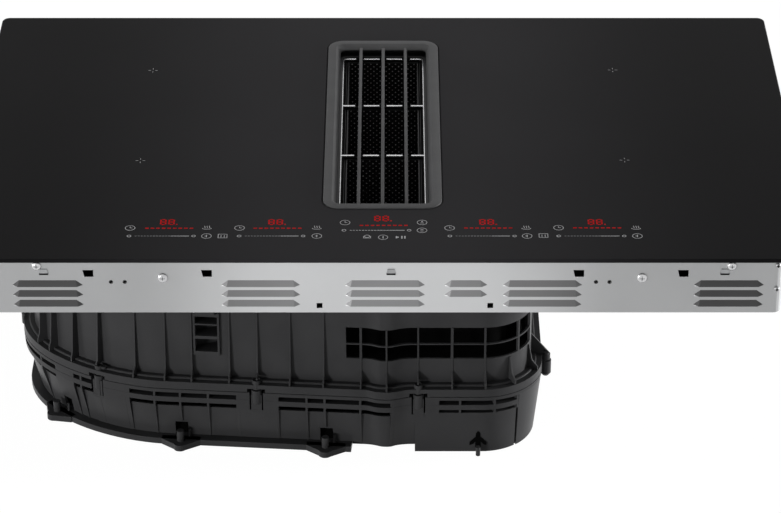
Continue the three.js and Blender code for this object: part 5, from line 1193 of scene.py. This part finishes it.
white_marks += [ring_mark(37.2, -190.2, SIGN_RADIUS), ring_mark(37, -205.6, SIGN_RADIUS),
                ring_mark(-14.2, -217, 2.7, 0.65, 18), ring_mark(0.7, -219, 4.6)]
white_marks += strokes(37, -190, (0.2, -1.4, 3.4, 0.7), (0.2, 1.4, 1.2, 2.2))
white_marks += strokes(37, -205.6, (0, 1.4, 2.8, 0.8), (0, -1.4, 2.8, 0.8))
white_marks += strokes(-14.2, -220.4, (0, 0, 7.2, 0.7), (-3.2, 1.8, 0.7, 3.6), (3.2, 1.8, 0.7, 3.6))
white_marks += strokes(0.7, -219, (0, 0, 0.8, 5), (12.5, 0, 1.4, 4), (13.9, 0, 1.2, 2), (17.5, 0, 1.3, 5),
                       (20.3, 0, 1.3, 5))

# %% [markdown]
# The middle of each cooking zone has a small cross of four short strokes. Then all marks of one
# colour are joined, because a piece for each stroke would fill the list of pieces for nothing.

# %% The zones, and the marks gathered
for x, y in ((-235, 134), (-235, -65), (234.5, 135), (234.7, -64)):
    for side in (3.4, -3.4):
        white_marks += strokes(x, y, (0, side, 0.5, 2.6), (side, 0, 2.6, 0.5))
gather("control_marks", white_marks, print_light, smooth=False)
gather("slider_marks", dim_marks, print_dim, smooth=False)
gather("display_marks", red_marks, print_red, smooth=False)

# %% [markdown]
# ## Floor, sky and lamps
# The studio is white. The floor and the sky look white to the camera, to mirrors and to glass,
# while the lamps stay soft and plain, so the colours come out about as they are written. A floor
# lit until it looks white would light the object from below. So it glows only for the rays that
# see it, and a small share of plain paint in that mix leaves the object its shadow.


# %% Floor and sky
WHITE, PAINT, SKY_LIGHT = (1, 1, 1, 1), (0.8, 0.8, 0.8, 1), (0.05, 0.05, 0.051, 1)
GLOW_STRENGTH, GLOW_SHARE = 1.06, 0.93
FLOOR_HALF, FLOOR_GAP = 6, 0.0005


def is_seen(tree):
    """1 for rays from the camera, off a mirror or through glass, and 0 for those that only light."""
    rays = add(tree, "LightPath").outputs
    seen = maths(tree, "MAXIMUM", rays["Is Camera Ray"], rays["Is Glossy Ray"])
    return maths(tree, "MAXIMUM", seen, rays["Is Transmission Ray"])


def blend(tree, share, plain, seen, output):
    """Mix two shaders by a share, and make the mix the output's surface."""
    mix = add(tree, "MixShader", {0: share, 1: plain.outputs[0], 2: seen.outputs[0]})
    add(tree, "Output" + output, {"Surface": mix.outputs[0]})


def white_studio():
    """The sky: white where it is seen, dim where it lights."""
    world = bpy.data.worlds.new("studio_sky")
    bpy.context.scene.world = world
    world.use_nodes = True
    tree = world.node_tree
    tree.nodes.clear()
    lit, seen = (add(tree, "Background", {"Color": colour}) for colour in (SKY_LIGHT, WHITE))
    blend(tree, is_seen(tree), lit, seen, "World")


def studio_floor():
    """A wide floor at the foot of the housing, that holds the shadow."""
    mesh = bpy.data.meshes.new("studio_floor")
    work = bmesh.new()
    bmesh.ops.create_grid(work, x_segments=1, y_segments=1, size=FLOOR_HALF)
    bmesh.ops.translate(work, verts=work.verts, vec=(0, 0, cad_box[0][2] - FLOOR_GAP))
    work.to_mesh(mesh)
    work.free()
    floor = placed("studio_floor", mesh)
    paint = bpy.data.materials.new("studio_paint")
    paint.use_nodes = True
    tree = paint.node_tree
    tree.nodes.clear()
    matt = add(tree, "BsdfDiffuse", {"Color": PAINT})
    glow = add(tree, "Emission", {"Color": WHITE, "Strength": GLOW_STRENGTH})
    blend(tree, maths(tree, "MULTIPLY", is_seen(tree), GLOW_SHARE), matt, glow, "Material")
    floor.data.materials.append(paint)


white_studio()
studio_floor()

# %% [markdown]
# Four soft lamps light the object. The front and right ones stand low, to reach the tray and the
# housing under the glass, which would lie in its shadow with lamps above alone.


# %% Lamps
def softbox(name, place, size, watts, aim):
    """A rectangular lamp at a place, turned to the aim."""
    lamp = bpy.data.lights.new(name, "AREA")
    lamp.shape = "RECTANGLE"
    lamp.size, lamp.size_y = size
    lamp.energy = watts
    holder = placed(name, lamp)
    holder.location = place
    holder.rotation_euler = (Vector(aim) - Vector(place)).to_track_quat("-Z", "Y").to_euler()


softbox("front_softbox", (-2.2, -2.6, 0.36), (0.6, 0.4), 46, aim=(-0.05, 0, 0.1))
softbox("left_softbox", (-2.9, -0.75, 0.45), (0.4, 0.6), 14, aim=(-0.2, 0, 0.1))
softbox("right_softbox", (2.6, 0.2, 0.25), (0.4, 0.4), 90, aim=(0.1, -0.1, 0.1))
softbox("top_softbox", (0, 0, 3), (1, 1), 20, aim=(0, 0, 0.2))
print("lamps:", len(bpy.data.lights))
